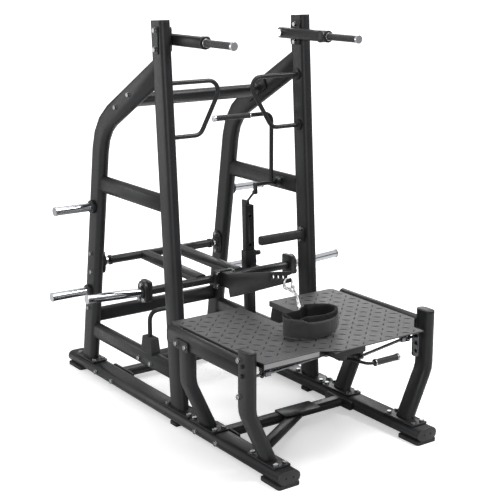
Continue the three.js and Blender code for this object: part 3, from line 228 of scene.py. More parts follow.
# A material made from its entry in the plan, with the slot it belongs to.
def makeFinish(name, slot, colour, roughness, metallic=0.0, cloud=None, polish=None, grain=(), knurl=None,
               sockets=None):
    finish = Finish(name, colour, roughness, metallic)
    for socket, value in (sockets or {}).items():
        finish.setting(socket, value)
    if cloud:
        share = finish.spread(finish.noise(cloud[0]), 0.0, 1.0)
        finish.drive("Base Color", finish.colours(share, *cloud[1:]))
    if polish:
        finish.drive("Roughness", finish.spread(finish.noise(polish[0]), *polish[1:]))
    for scale, detail, stretch, strength, depth in grain:
        source = finish.turned(stretch) if stretch else None
        finish.bump(finish.noise(scale, detail, source), strength, depth)
    for turn in knurl["turns"] if knurl else ():
        source = finish.turned((1, 1, 1), (math.radians(turn), math.radians(turn), 0))
        inputs = {"Vector": source, "Scale": knurl["scale"]}
        wave = finish.node("ShaderNodeTexWave", inputs, wave_profile="SIN")
        finish.bump(wave.outputs["Fac"], knurl["strength"], knurl["depth"])
    return finish.data, slot


finishes = {name: makeFinish(name, **plan) for name, plan in finishPlan.items()}
print("finishes made")


# A form is an array of points in millimetres with a list of faces over them; a mesh joins several forms.
def joinedMesh(name, forms):
    starts = np.cumsum([0] + [len(points) for points, faces in forms]).tolist()
    points = toFrame(np.vstack([points for points, faces in forms]))
    faces = [[i + start for i in face] for start, (_, own) in zip(starts, forms) for face in own]
    mesh = bpy.data.meshes.new(name)
    mesh.from_pydata(points.tolist(), [], faces)
    return mesh


# A piece has its seams merged and its faces turned outwards, and is smooth up to the sharp angle.
def makePiece(name, forms, finish, body="frame", sharp=35):
    mesh = joinedMesh(name, forms)
    work = bmesh.new()
    work.from_mesh(mesh)
    bmesh.ops.remove_doubles(work, verts=work.verts, dist=mergeGap)
    bmesh.ops.recalc_face_normals(work, faces=work.faces)
    work.to_mesh(mesh)
    work.free()
    mesh.polygons.foreach_set("use_smooth", np.ones(len(mesh.polygons), bool))
    mesh.set_sharp_from_angle(angle=math.radians(sharp))
    material, slot = finishes[finish]
    mesh.materials.append(material)
    piece = addObject(name, mesh)
    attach(piece, body)
    return piece


# Faces over a stack of rings: each ring joins the next, and each open end is closed with one face.
def ringFaces(rings, count, closed=False):
    i, j = np.meshgrid(np.arange(rings if closed else rings - 1), np.arange(count), indexing="ij")
    k, following = (j + 1) % count, (i + 1) % rings
    quads = np.stack([i * count + j, i * count + k, following * count + k, following * count + j], -1)
    faces = quads.reshape(-1, 4).tolist()
    if not closed:
        faces += [list(range(count))[::-1], list(range((rings - 1) * count, rings * count))]
    return faces


# A vector divided by its own length.
def unit(vector):
    vector = vec(vector)
    return vector / np.linalg.norm(vector)


# Two directions square to an axis, and to each other.
def crossPair(axis):
    axis = unit(axis)
    first = unit(np.cross(axis, zAxis if abs(axis[2]) < 0.9 else xAxis))
    return first, np.cross(axis, first)


# A turned form: each profile row is a radius and a distance along the axis, and makes one ring.
def turnedForm(profile, start, axis, count=36):
    profile = vec(profile)
    first, second = crossPair(axis)
    angle = 2 * math.pi * np.arange(count) / count
    ring = np.cos(angle)[:, None] * first + np.sin(angle)[:, None] * second
    points = vec(start) + profile[:, 1, None, None] * unit(axis) + profile[:, 0, None, None] * ring
    return points.reshape(-1, 3), ringFaces(len(profile), count)


# A drum's profile from low to high: one radius, less near and far where those rims are chamfered.
def drum(radius, low, high, near=0.0, far=0.0):
    rims = [(radius - near, low), (radius, low + near)] if near else [(radius, low)]
    rims += [(radius, high - far), (radius - far, high)] if far else [(radius, high)]
    return [(core, low), *rims, (core, high)]


# A round rod from start to end, its rims chamfered by a millimetre, or by a quarter of a short rod's length.
def plainRod(start, end, radius, count=28):
    start, end = vec(start), vec(end)
    long = np.linalg.norm(end - start)
    edge = min(1.0, long / 4)
    return turnedForm(drum(radius, 0, long, edge, edge), start, end - start, count)


# A section carried along a path, its first direction kept as near to across as the path allows.
def sweptForm(section, path, across=None, closed=False):
    section, path = vec(section), vec(path)
    heading = np.roll(path, -1, 0) - np.roll(path, 1, 0) if closed else np.gradient(path, axis=0)
    heading = heading / np.linalg.norm(heading, axis=1)[:, None]
    across = crossPair(heading[0])[0] if across is None else vec(across)
    first = across - (across * heading).sum(1)[:, None] * heading
    first = first / np.linalg.norm(first, axis=1)[:, None]
    second = np.cross(heading, first)
    points = path[:, None] + section[None, :, :1] * first[:, None] + section[None, :, 1:] * second[:, None]
    return points.reshape(-1, 3), ringFaces(len(path), len(section), closed)


# Points at even angles round a circle.
def circleSection(diameter, count=16):
    angle = 2 * math.pi * np.arange(count) / count
    return diameter / 2 * np.stack([np.cos(angle), np.sin(angle)], 1)


# A rectangle with quarter circles at its corners.
def roundedSection(wide, tall, radius, steps=5):
    quarter = np.radians(np.linspace(0, 90, steps))
    corners = [(1, 1, 0), (-1, 1, 90), (-1, -1, 180), (1, -1, 270)]
    parts = [np.stack([right * (wide / 2 - radius) + radius * np.cos(quarter + math.radians(start)),
                       up * (tall / 2 - radius) + radius * np.sin(quarter + math.radians(start))], 1)
             for right, up, start in corners]
    return np.vstack(parts)


# Rounded rectangles stacked in z: each level is a height, two widths and a corner radius.
def stackedForm(centre, levels, steps=5):
    rings = [np.hstack([roundedSection(wide, deep, radius, steps), np.full((4 * steps, 1), height)])
             for height, wide, deep, radius in levels]
    return np.vstack(rings) + vec(centre), ringFaces(len(levels), 4 * steps)


# A box between two corners, its edges rounded.
def boxForm(low, high, edge=1.5):
    low, high = vec(low), vec(high)
    wide, deep, tall = high - low
    near = (wide - 2 * edge, deep - 2 * edge, edge / 2)
    full = (wide, deep, edge)
    levels = [(-tall / 2, *near), (-tall / 2 + edge, *full), (tall / 2 - edge, *full), (tall / 2, *near)]
    return stackedForm((low + high) / 2, levels, 3)


# An outline's corners moved inwards, each along the sum of its two edges' normals.
def shrunk(outline, inset):
    edges = outline - np.roll(outline, 1, 0), np.roll(outline, -1, 0) - outline
    normals = [np.stack([-edge[:, 1], edge[:, 0]], 1) / np.linalg.norm(edge, axis=1)[:, None]
               for edge in edges]
    share = 1 + (normals[0] * normals[1]).sum(1)
    return outline + inset * (normals[0] + normals[1]) / share[:, None]


# An outline, drawn counter-clockwise, carried from low to high along x, y or z with chamfered rims.
def prismForm(outline, axis, low, high, edge=1.0):
    outline = vec(outline)
    rings = []
    for level, inset in ((low, edge), (low + edge, 0), (high - edge, 0), (high, edge)):
        columns = list(shrunk(outline, inset).T)
        columns.insert("xyz".index(axis), np.full(len(outline), float(level)))
        rings.append(np.stack(columns, 1))
    return np.vstack(rings), ringFaces(len(rings), len(outline))


# Points at even angles along an arc, in degrees.
def arcPoints(centre, radius, start, end, steps):
    angle = np.radians(np.linspace(start, end, steps))
    circle = np.stack([np.cos(angle), np.sin(angle)], 1)
    return [tuple(point) for point in np.asarray(centre) + radius * circle]


# A path through corners, each rounded by a curve that leaves both sides at the bend's tangent points.
def bentPath(corners, bend, steps=9):
    corners = vec(corners)
    share = np.linspace(0, 1, steps)[:, None]
    points = [corners[:1]]
    for before, corner, after in zip(corners, corners[1:], corners[2:]):
        first, last = unit(before - corner), unit(after - corner)
        reach = bend / math.tan(math.acos(np.clip(first @ last, -1, 1)) / 2)
        start, end = corner + first * reach, corner + last * reach
        points.append((1 - share)**2 * start + 2 * share * (1 - share) * corner + share**2 * end)
    return np.vstack(points + [corners[-1:]])


# A mesh with its modifiers settled into it.
def settled(piece):
    graph = bpy.context.evaluated_depsgraph_get()
    mesh = bpy.data.meshes.new_from_object(piece.evaluated_get(graph))
    piece.modifiers.clear()
    piece.data = mesh
    return mesh


# Finishes for the solids that are shown, by how a node's name starts; the others are powder coated.
nodeFinish = {"rail_cap": "blackPlastic", "pull_pin": "blackPlastic", "foot_": "blackRubber",
              "side_support": "blackRubber", "lock_rod": "darkSteel"}
edgeSoftening = {"width": 0.9, "segments": 2, "angle": 38, "weld": 0.02}


# Modifiers keep the solid's own vertices as they are: loose triangles are welded, then edges are rounded.
def soften(node, width, segments, angle, weld):
    node.data.polygons.foreach_set("use_smooth", np.ones(len(node.data.polygons), bool))
    node.modifiers.new("weld", "WELD").merge_threshold = weld * mm
    bevel = node.modifiers.new("bevel", "BEVEL")
    bevel.width = width * mm
    bevel.segments = segments
    bevel.limit_method = "ANGLE"
    bevel.angle_limit = math.radians(angle)
    bevel.harden_normals = True


for name, node in nodes.items():
    choice = next((finish for start, finish in nodeFinish.items() if name.startswith(start)), "powderCoat")
    node.data.materials.clear()
    node.data.materials.append(finishes[choice][0])
    soften(node, **edgeSoftening)
print("solids finished")


# Bolts stand over the solid's own heads, and where the photograph shows more. Each group has the way it faces
# on the right side, its body and its places there.
boltSize = {"washer": 14.6, "washerTall": 2.0, "head": 13.9, "tall": 11.6, "chamfer": 1.6, "edge": 0.6}
plateBolts = {"top": 92.3, "inset": 22, "spread": 28, "track": 450,
              "plates": [(828, 1087), (1888, 2114), (53, 289), (582, 818)]}
sideBolts = {
    "outer": (1, "frame", [
        (515, 1637, 51.5), (515, 1831, 51.5), (515, 540, 51.5), (515, 734, 51.5), (475, 1250, 266),
        (475, 1376, 266), (481, 1411.9, 1745.4), (481, 1558.1, 1662.6), (604, 204, 618), (604, 204, 434),
        (481.3, 1905, 762), (481.3, 1905, 650), (481.3, 1958, 415), (487.3, 1112, 2006), (487.3, 1112, 2102),
        (610, 752, 552), (610, 668, 552)]),
    "inner": (-1, "frame", [
        (408.7, 1112, 2006), (408.7, 1112, 2102), (404.7, 1905, 762), (404.7, 1905, 650)]),
    "load": (1, "lever", [(516.3, 1256, 728), (516.3, 1233, 649), (516.3, 1279, 649)]),
}
padBolts = [(410.7, 1041.5, 896), (410.7, 1041.5, 956)]
noseBolts = [(-50, 1206.7, 655), (-50, 1206.7, 727), (50, 1206.7, 655), (50, 1206.7, 727)]


# A flat washer and a chamfered hexagon head, both turned about the bolt's axis.
def boltForms(start, axis, washer, washerTall, head, tall, chamfer, edge):
    return [turnedForm(drum(washer, 0, washerTall, far=edge), start, axis, 24),
            turnedForm(drum(head, 0, tall, far=chamfer), start, axis, 6)]


# One piece of all the bolts at the given places and axes.
def makeBolts(name, places, body="frame"):
    forms = [form for start, axis in places for form in boltForms(start, axis, **boltSize)]
    makePiece(name, forms, "zincPlate", body, sharp=25)


# Four bolts for each foot plate: at two insets from its ends, on both sides of the rail's middle.
def platePlaces(side, top, inset, spread, track, plates):
    return [((side * track + shift, y, top), zAxis) for front, rear in plates
            for y in (front + inset, rear - inset) for shift in (-spread, spread)]


for label, side in sides.items():
    makeBolts(f"plate_bolts_{label}", platePlaces(side, **plateBolts))
    for group, (turn, body, places) in sideBolts.items():
        places = [(np.array(place) * np.array([side, 1, 1]), turn * side * xAxis) for place in places]
        makeBolts(f"{group}_bolts_{label}", places, body)
makeBolts("pad_bolts", [(place, -xAxis) for place in padBolts])
makeBolts("nose_bolts", [(place, -yAxis) for place in noseBolts], "lever")
print("bolts made")


# Plates bolted on the uprights and the platform beams, and painted shade where the small screws of the rail
# caps sit in their recesses.
handlePlate = {"face": 481.3, "thick": 6, "outline": [(1088, 1982), (1136, 1982), (1136, 2122), (1088, 2122)]}
beamPlate = {"face": 602, "thick": 8, "centre": (710, 552), "size": (128, 54), "round": 14}
capScrew = {"track": 450, "spread": 22, "z": 52, "radius": 5.5, "deep": 0.5}


# Each plate is its outline carried outwards by its thickness; each screw is a thin near-black drum on the
# cap, the painted shade of its recess.
def makeTrim(label, side):
    outlines = [handlePlate["outline"],
                roundedSection(*beamPlate["size"], beamPlate["round"]) + vec(beamPlate["centre"])]
    forms = [prismForm(outline, "x", *span(side, plate["face"], plate["face"] + plate["thick"]))
             for plate, outline in zip((handlePlate, beamPlate), outlines)]
    makePiece(f"bolted_plates_{label}", forms, "powderCoat")
    screws = [turnedForm(drum(capScrew["radius"], 0, capScrew["deep"]),
                         (side * capScrew["track"] + spread, 0, capScrew["z"]), -yAxis, 20)
              for spread in (-capScrew["spread"], capScrew["spread"])]
    makePiece(f"cap_screw_recess_shade_{label}", screws, "paintedRecessShade")


for label, side in sides.items():
    makeTrim(label, side)


# Weight pegs: a black collar, and a chrome bar that ends in a wider cap.
storagePegs = {"x": 481.3, "upper": (1855, 1055), "lower": (1941, 527), "long": 250, "collar": 39,
               "collarLong": 20}
loadPegs = {"z": 687, "rise": 3, "tip": 854, "sink": 2, "collar": 31, "collarLong": 10}
loadPlate = {"x": 495.6, "face": 516.3, "y": 1256, "half": 45, "foot": 635, "middle": 706, "corner": 14}
pegShape = {"bar": 24.5, "cap": 26.5, "capLong": 13, "edge": 2.0, "groove": 0.8}


# The bar's profile steps in by the groove for a millimetre before its cap, whose far rim is chamfered.
def makePeg(name, start, axis, long, plan, body, more=()):
    bar, cap, edge, groove = (pegShape[key] for key in ("bar", "cap", "edge", "groove"))
    step = long - pegShape["capLong"]
    rod = [*drum(bar, 1, step)[:-1], (bar - groove, step), (bar - groove, step + 1),
           *drum(cap, step + 1, long, far=edge)[1:]]
    collar = turnedForm(drum(plan["collar"], 0, plan["collarLong"], edge, edge), start, axis, 48)
    makePiece(f"{name}_collar", [collar, *more], "powderCoat", body)
    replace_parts(makePiece(f"{name}_bar", [turnedForm(rod, start, axis, 56)], "chromePlate", body), name)


# The load peg's plate has a round head over square shoulders.
def loadPlateForm(side, x, face, y, half, foot, middle, corner):
    outline = [*arcPoints((y - half + corner, foot + corner), corner, 180, 270, 6),
               *arcPoints((y + half - corner, foot + corner), corner, 270, 360, 6),
               *arcPoints((y, middle), half, 0, 180, 25)]
    return prismForm(outline, "x", *span(side, x, face), 1.5)


for label, side in sides.items():
    for level in ("upper", "lower"):
        makePeg(f"storage_peg_{level}_{label}", (side * storagePegs["x"], *storagePegs[level]), side * xAxis,
                storagePegs["long"], storagePegs, "frame")
    rise = math.radians(loadPegs["rise"])
    root = loadPlate["face"] - loadPegs["sink"]
    long = (loadPegs["tip"] - loadPlate["face"] + loadPegs["sink"]) / math.cos(rise)
    start, axis = (side * root, loadPlate["y"], loadPegs["z"]), (side * math.cos(rise), 0, math.sin(rise))
    makePeg(f"load_peg_{label}", start, axis, long, loadPegs, "lever", [loadPlateForm(side, **loadPlate)])
print("pegs made")


# Rubber blocks on the lower beams, with the bent bar on the left one.
bumperPlan = {
    "track": 450, "y": 1287,
    "levels": [(320, 58, 112, 6), (324, 60, 116, 7), (344, 60, 116, 7), (405, 53, 100, 7), (410, 51, 97, 7),
               (412, 47, 93, 6)],
    "hole": 9, "spread": 26, "top": 412, "deep": 0.6, "slit": 2.5, "slitLong": 44,
}
hoopPlan = {"corners": [(-450, 1290, 336), (-450, 1290, 556), (-260, 1290, 556)], "bend": 60, "bar": 25}


# The block is a stack of rounded rectangles; its two holes and slit on its top are painted shade: two flat
# near-black drums and a thin box.
def makeBumper(label, side, track, y, levels, hole, spread, top, deep, slit, slitLong):
    x = side * track
    block = makePiece(f"bumper_block_{label}", [stackedForm((x, y, 0), levels)], "blackRubber")
    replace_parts(block, f"bumper_{label}")
    holeShades = [turnedForm(drum(hole, 0, deep), (x, y + shift, top), zAxis, 24) for shift in (-spread, spread)]
    low, high = (x - slitLong / 2, y - slit / 2, top - 1), (x + slitLong / 2, y + slit / 2, top + deep)
    holeShades.append(boxForm(low, high, 0.3))
    makePiece(f"bumper_hole_shade_{label}", holeShades, "paintedRecessShade")


for label, side in sides.items():
    makeBumper(label, side, **bumperPlan)
hoopPath = bentPath(hoopPlan["corners"], hoopPlan["bend"])
makePiece("hoop_bar", [sweptForm(circleSection(hoopPlan["bar"], 28), hoopPath, yAxis)], "powderCoat")
print("bumpers made")


# A bright plate with three holes on the inner face of each front leg.
latchPlan = {"near": 535.4, "far": 536.8, "y": 199, "half": 21, "foot": 406, "head": 556, "corner": 18,
             "holes": [521, 481, 438], "hole": 11.3, "before": -3, "behind": 6}


# A rounded outline made a thin prism, less a drum through each hole.
def makeLatchFace(label, side, near, far, y, half, foot, head, corner, holes, hole, before, behind):
    outline = roundedSection(2 * half, head - foot, corner) + np.array([y, (head + foot) / 2])
    face = prismForm(outline, "x", *span(side, near, far), 0.3)
    piece = makePiece(f"latch_face_{label}", [face], "zincPlate")
    forms = [turnedForm(drum(hole, before, behind), (side * near, y, z), side * xAxis, 32) for z in holes]
    cutter = addObject("latch_holes", joinedMesh("latch_holes", forms))
    cut = piece.modifiers.new("holes", "BOOLEAN")
    cut.operation = "DIFFERENCE"
    cut.object = cutter
    bpy.context.view_layer.update()
    settled(piece)
    bpy.data.objects.remove(cutter)


for label, side in sides.items():
    makeLatchFace(label, side, **latchPlan)
print("latch plates made")


# The platform: a plate with a folded skirt on the sheltered edges, over a frame of bars.
deckPlan = {"top": 615, "under": 609, "foot": 585, "barFoot": 575, "edge": 1.2, "skirtEdge": 0.8,
            "barEdge": 3}
deckOutline = [(-537, 165), (-528, 102), (-197, 102), (-110, 36), (430, 36), (430, 108), (537, 218),
               *arcPoints((509, 882), 28, 0, 90, 6), (92, 910), (92, 562), (-100, 562), (-100, 910),
               (-537, 910)]
skirtRuns = [((-528, 102), (-197, 106)), ((-537, 165), (-533, 910)), ((533, 218), (537, 884)),
             ((92, 906), (510, 910)), ((-537, 906), (-100, 910)), ((92, 562), (96, 910)),
             ((-104, 562), (-100, 910)), ((-104, 558), (96, 562))]
deckBars = [((-516, 112), (-476, 892)), ((-146, 112), (-106, 892)), ((106, 112), (146, 892)),
            ((476, 232), (516, 892)), ((-496, 107), (-150, 157)), ((45, 107), (420, 157)),
            ((-496, 445), (496, 495))]
deckBrackets = [((-150, 40, 579), (45, 262, 608.5)), ((-122, 42, 562), (-72, 78, 608))]
deckPivots = {"from": 506, "to": 551.6, "y": 806, "z": 596, "radius": 13}
guidePlan = {"x": 470, "thick": 8, "y": 199, "half": 18, "z": 521, "bore": 9.5, "rim": 17, "gap": 3.5,
             "steps": 40, "edge": 0.8}
studPlan = {"x": 15, "y": 184, "levels": (580, 503.7, 497.7), "radii": (8, 15)}


# A ring stands round the lock rod's way, so its hole stays open, and a short box joins it to the deck.
def guideForms(side, x, thick, y, half, z, bore, rim, gap, steps, edge):
    near, far = span(side, x, x + thick)
    angle = 2 * math.pi * np.arange(steps) / steps
    reach = (bore + rim) / 2
    middle = np.full(steps, (near + far) / 2)
    path = np.stack([middle, y + reach * np.cos(angle), z + reach * np.sin(angle)], 1)
    ring = sweptForm(roundedSection(thick, rim - bore, edge, 2), path, xAxis, closed=True)
    return [ring, boxForm((near, y - half, z + bore + gap), (far, y + half, deckPlan["under"]))]


# The plate is its outline made a prism; skirts and bars are boxes from given feet up to its underside.
def makeDeck(top, under, foot, barFoot, edge, skirtEdge, barEdge):
    deck = makePiece("platform_plate", [prismForm(deckOutline, "z", under, top, edge)], "deckCoat")
    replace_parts(deck, "platform")
    skirts = [boxForm((*low, foot), (*high, under + 1), skirtEdge) for low, high in skirtRuns]
    # The front run of the skirt is coloured lighter than the other runs, as a painted highlight.
    makePiece("platform_front_skirt", skirts[:1], "paintedSkirtHighlight")
    makePiece("platform_skirts", skirts[1:], "deckCoat")
    forms = [boxForm((*low, barFoot), (*high, under + 0.5), barEdge) for low, high in deckBars]
    forms += [boxForm(low, high, 2) for low, high in deckBrackets]
    for side in sides.values():
        ends = [(side * deckPivots[key], deckPivots["y"], deckPivots["z"]) for key in ("from", "to")]
        forms += [plainRod(*ends, deckPivots["radius"]), *guideForms(side, **guidePlan)]
    stations = [(studPlan["x"], studPlan["y"], z) for z in studPlan["levels"]]
    forms += [plainRod(*stud) for stud in zip(stations, stations[1:], studPlan["radii"])]
    makePiece("platform_frame", forms, "powderCoat")


makeDeck(**deckPlan)
print("platform made")


# Raised lenses of the tread plate, turned by turns to the left and to the right, coloured darker than the
# deck as painted shade.
treadPlate = {"pitch": 56.0, "long": 50.0, "wide": 8.5, "tall": 2.2, "sink": 0.3, "margin": 12}


# Whether each point lies in a polygon: a ray to its right crosses the edges an odd number of times.
def insidePolygon(points, corners):
    x, y = points[:, :1], points[:, 1:]
    (x0, y0), (x1, y1) = corners.T, np.roll(corners, -1, 0).T
    between = (y0 > y) != (y1 > y)
    rise = np.where(y1 == y0, 1.0, y1 - y0)
    return (between & (x < x0 + (y - y0) * (x1 - x0) / rise)).sum(1) % 2 == 1


# A lens's half width and height fall away along its length as one less the square of the share.
def makeTread(top, pitch, long, wide, tall, sink, margin):
    corners = np.array(deckOutline, float)
    low, high = corners.min(0), corners.max(0)
    columns, rows = (np.arange(low[i] + pitch / 2, high[i], pitch) for i in (0, 1))
    x, y = np.meshgrid(columns, rows, indexing="ij")
    turn = np.where(np.add.outer(np.arange(len(columns)), np.arange(len(rows))) % 2 == 0, 1.0, -1.0).ravel()
    middle = np.stack([x.ravel(), y.ravel()], 1)
    along = np.stack([np.ones_like(turn), turn], 1) / math.sqrt(2)
    reach = (long / 2 + margin) * along
    keep = np.all([insidePolygon(middle + shift * reach, corners) for shift in (-1, 0, 1)], axis=0)
    middle, along = middle[keep], along[keep]
    side = np.stack([-along[:, 1], along[:, 0]], 1)
    share = np.linspace(-1, 1, 9)
    around = np.linspace(0, math.pi, 5)
    swell = 1 - share**2
    u = np.repeat(share * long / 2, len(around))
    v = np.outer(swell, np.cos(around)).ravel() * wide / 2
    w = np.outer(swell, np.sin(around)).ravel() * (tall + sink) + top - sink
    points = middle[:, None] + u[None, :, None] * along[:, None] + v[None, :, None] * side[:, None]
    points = np.concatenate([points, np.broadcast_to(w[None, :, None], points.shape[:2] + (1,))], 2)
    faces = ringFaces(len(share), len(around))[:-2]
    makePiece("tread_lenses", [(own, faces) for own in points], "paintedTreadShade", sharp=60)


makeTread(float(deckPlan["top"]), **treadPlate)
print("tread made")


# A grip is a knurled sleeve between a chrome ring and a chrome end cap with a small mark in its middle.
topGrip = {"x": 388.7, "y": 792, "z": 2053, "end": 543, "diameter": 37, "lip": 3.4}
releaseGrip = {"start": 215, "end": -32, "y": 1268, "z": 1597, "diameter": 32, "lip": 2.2}
lockGrip = {"start": (96, 30, 512), "end": (254, 30, 512), "diameter": 33, "lip": 2.4}
gripTrim = {"ring": 7.0, "cap": 14.0, "edge": 1.2, "mark": 3.0}
armCap = {"x": 365.7, "y": 1192, "z": 2053, "radius": 21, "long": 9}


# A drum with a small drum sunk in its far end by the edge's depth.
def markedDrum(radius, low, high, near=0.0):
    mark, edge = gripTrim["mark"], gripTrim["edge"]
    return [*drum(radius, low, high, near, edge)[:-1], (mark, high), (mark, high - edge), (core, high - edge)]


# The sleeve is a plain drum between the ring's drum and the marked drum of the end cap.
def makeGrip(name, start, end, shape, body="frame"):
    start, end = vec(start), vec(end)
    axis, long = end - start, np.linalg.norm(end - start)
    radius, lip = shape["diameter"] / 2, shape["diameter"] / 2 + shape["lip"]
    ring, cap, edge = gripTrim["ring"], gripTrim["cap"], gripTrim["edge"]
    rings = [drum(lip, 0, ring, edge, edge), markedDrum(lip, long - cap, long, edge)]
    sleeve = drum(radius, edge, long - cap + edge)
    makePiece(f"{name}_sleeve", [turnedForm(sleeve, start, axis, 48)], "knurledSteel", body)
    makePiece(f"{name}_rings", [turnedForm(form, start, axis, 48) for form in rings], "chromePlate", body)


for label, side in sides.items():
    start, end = ((side * topGrip["x"], topGrip[key], topGrip["z"]) for key in ("y", "end"))
    makeGrip(f"top_grip_{label}", start, end, topGrip)
start, end = ((releaseGrip[key], releaseGrip["y"], releaseGrip["z"]) for key in ("start", "end"))
makeGrip("release_grip", start, end, releaseGrip, "release_handle")
makeGrip("lock_grip", lockGrip["start"], lockGrip["end"], lockGrip, "lock_lever")
for label, side in sides.items():
    start = (side * armCap["x"], armCap["y"], armCap["z"])
    cap = turnedForm(markedDrum(armCap["radius"], -1, armCap["long"]), start, -side * xAxis, 40)
    makePiece(f"arm_cap_{label}", [cap], "chromePlate")
print("grips made")


# Thick sleeves over the lock rods, from a start past the yoke's pin to the clevis, and the pivot's rings.
rodSleeve = {"pivot": (15, 184), "pin": (58, 56), "shift": 6.5, "start": 40, "clevis": (423, 199), "z": 521,
             "radius": 8}
pivotRing = {"from": 377, "to": 391, "y": 1905, "z": 706, "radius": 24}


# A sleeve follows the straight line from the yoke's pin to the clevis, less its start.
def makeRodSleeve(label, side, pivot, pin, shift, start, clevis, z, radius):
    inner = np.array([pivot[0] + side * pin[0], pivot[1] - side * (pin[1] + shift), z])
    outer = np.array([side * clevis[0], clevis[1], z], float)
    sleeve = plainRod(inner + unit(outer - inner) * start, outer, radius)
    makePiece(f"lock_rod_sleeve_{label}", [sleeve], "darkSteel", f"lock_rod_{label}")


for label, side in sides.items():
    makeRodSleeve(label, side, **rodSleeve)
    ends = [(side * pivotRing[key], pivotRing["y"], pivotRing["z"]) for key in ("from", "to")]
    makePiece(f"pivot_ring_{label}", [plainRod(*ends, pivotRing["radius"], 48)], "chromePlate", "lever")
print("rod sleeves made")


# The chain: a shackle through the nose, two strands to a ring, and a snap hook down to the belt. A stretch is
# a link's length in half widths, a start is how far from its end a strand begins.
chainPlan = {
    "shackle": [(-24, 614, 788), (-26, 617, 812), (-13, 618, 826.5), (0, 618, 827.5), (13, 618, 826.5),
                (26, 617, 812), (24, 614, 788)],
    "bow": 10.0, "eye": 12.0, "eyeWire": 6.5, "eyeShift": 4, "eyeStretch": 2.9, "upperStart": 14,
    "ring": (-20, 530, 775), "ringHalf": 15.0, "ringWire": 6.0, "ringStretch": 2.1, "lowerStart": 8,
    "hookTop": (-38, 492, 764), "clip": (-78, 414, 726), "hookHalf": 14.0, "hookWire": 8.0,
    "barrel": (6, 5), "barrelShare": 0.75, "upper": 3, "lower": 2,
}
strandLink = {"wire": 6.5, "half": 8.5, "overlap": 3.4}


# A link is a stadium: half circles at both ends of two straight sides, drawn with a round wire.
def linkForm(centre, along, across, long, half, wire):
    quarter = np.radians(np.linspace(-90, 90, 9))
    straight = long / 2 - half
    u = np.concatenate([straight + half * np.cos(quarter), -straight - half * np.cos(quarter)])
    v = np.concatenate([half * np.sin(quarter), -half * np.sin(quarter)])
    path = vec(centre) + u[:, None] * along + v[:, None] * across
    return sweptForm(circleSection(wire, 8), path, np.cross(along, across), closed=True)


# Links laid end to end, each turned a quarter from the one before.
def strandForms(start, end, count):
    start, end = vec(start), vec(end)
    wire, half = strandLink["wire"], strandLink["half"]
    along, pitch = unit(end - start), np.linalg.norm(end - start) / count
    turns = crossPair(along)
    long = pitch + 2 * wire - strandLink["overlap"] + wire / 2
    return [linkForm(start + along * pitch * (i + 0.5), along, turns[i % 2], long, half, wire)
            for i in range(count)]


# A path with its corners cut: each stretch between points gives one at its quarter and one at three quarters.
def smoothPath(points, rounds=3):
    points = vec(points)
    for _ in range(rounds):
        near, far = 0.75 * points[:-1] + 0.25 * points[1:], 0.25 * points[:-1] + 0.75 * points[1:]
        points = np.vstack([points[:1], np.stack([near, far], 1).reshape(-1, 3), points[-1:]])
    return points


# Each link lies along the straight line between two of the plan's places.
def makeChain():
    plan = chainPlan
    ring, top, clip = (vec(plan[key]) for key in ("ring", "hookTop", "clip"))
    bow = smoothPath(plan["shackle"])
    eye, half, hook = plan["eye"], plan["ringHalf"], plan["hookHalf"]
    forms = [sweptForm(circleSection(plan["bow"], 14), bow, yAxis)]
    for end in (bow[0], bow[-1]):
        along = unit(ring - end)
        across = crossPair(along)[1]
        forms.append(linkForm(end + along * plan["eyeShift"], along, across, plan["eyeStretch"] * eye, eye,
                              plan["eyeWire"]))
        forms += strandForms(end + along * plan["upperStart"], ring, plan["upper"])
    along = unit(top - ring)
    across = crossPair(along)[1]
    forms.append(linkForm(ring, along, across, plan["ringStretch"] * half, half, plan["ringWire"]))
    forms += strandForms(ring + along * plan["lowerStart"], top, plan["lower"])
    along, wire = unit(clip - top), plan["hookWire"]
    long = np.linalg.norm(clip - top) + wire
    across = crossPair(along)[1]
    forms.append(linkForm((top + clip) / 2, along, across, long, hook, wire))
    barrel = (top + clip) / 2 + across * hook
    before, behind = plan["barrel"]
    forms.append(plainRod(barrel - along * long / before, barrel + along * long / behind,
                          wire * plan["barrelShare"], 20))
    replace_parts(makePiece("chain_links", forms, "nickelPlate", "belt_and_chain", sharp=60), "chain")


makeChain()
print("chain made")


# The belt: a padded liner inside a stitched shell, each blown up a little as cloth, then rounded.
beltOval = {"x": -62, "y": 342, "reachX": 150, "reachY": 94}
beltBands = {
    "liner": {"angles": (151, 440), "offset": -2.5, "thick": 15, "low": 619, "high": 737, "radius": 3.0},
    "shell": {"angles": (163, 380), "offset": 8.0, "thick": 6.5, "low": 616, "high": 711, "radius": 2.4},
    "patch": {"angles": (258, 286), "offset": 13.6, "thick": 2.6, "low": 643, "high": 702, "radius": 1.2,
              "rings": 24},
}
# At the stated angles, how far a band's lower edge is lifted, and its upper edge raised.
beltLift = ([150, 225, 238, 282, 315, 340, 358, 385, 410, 441], [5, 5, 0, 0, 16, 34, 40, 18, 5, 5])
beltRise = {
    "liner": ([150, 185, 200, 216, 232, 441], [0, -3, -16, -16, 0, 0]),
    "shell": ([150, 222, 238, 300, 360, 418], [14, 14, 0, 0, 2, 4]),
}
clothPlan = {"voxel": 5.0, "quality": 5, "mass": 0.3, "pressure": 4.0, "steps": 20, "cap": 4.0, "gap": 0.4}
strapPlan = {"clip": (-78, 414), "thick": 8, "bow": 7, "low": (624, 640), "high": (731, 720), "ease": 0.7,
             "radius": 2.0}
strapAngles = (153, 438)
stitchPlan = {"long": 5.0, "pitch": 8.0, "wire": 1.4, "inset": 9.0, "offset": 13.2, "dive": 1.2, "ends": 3}


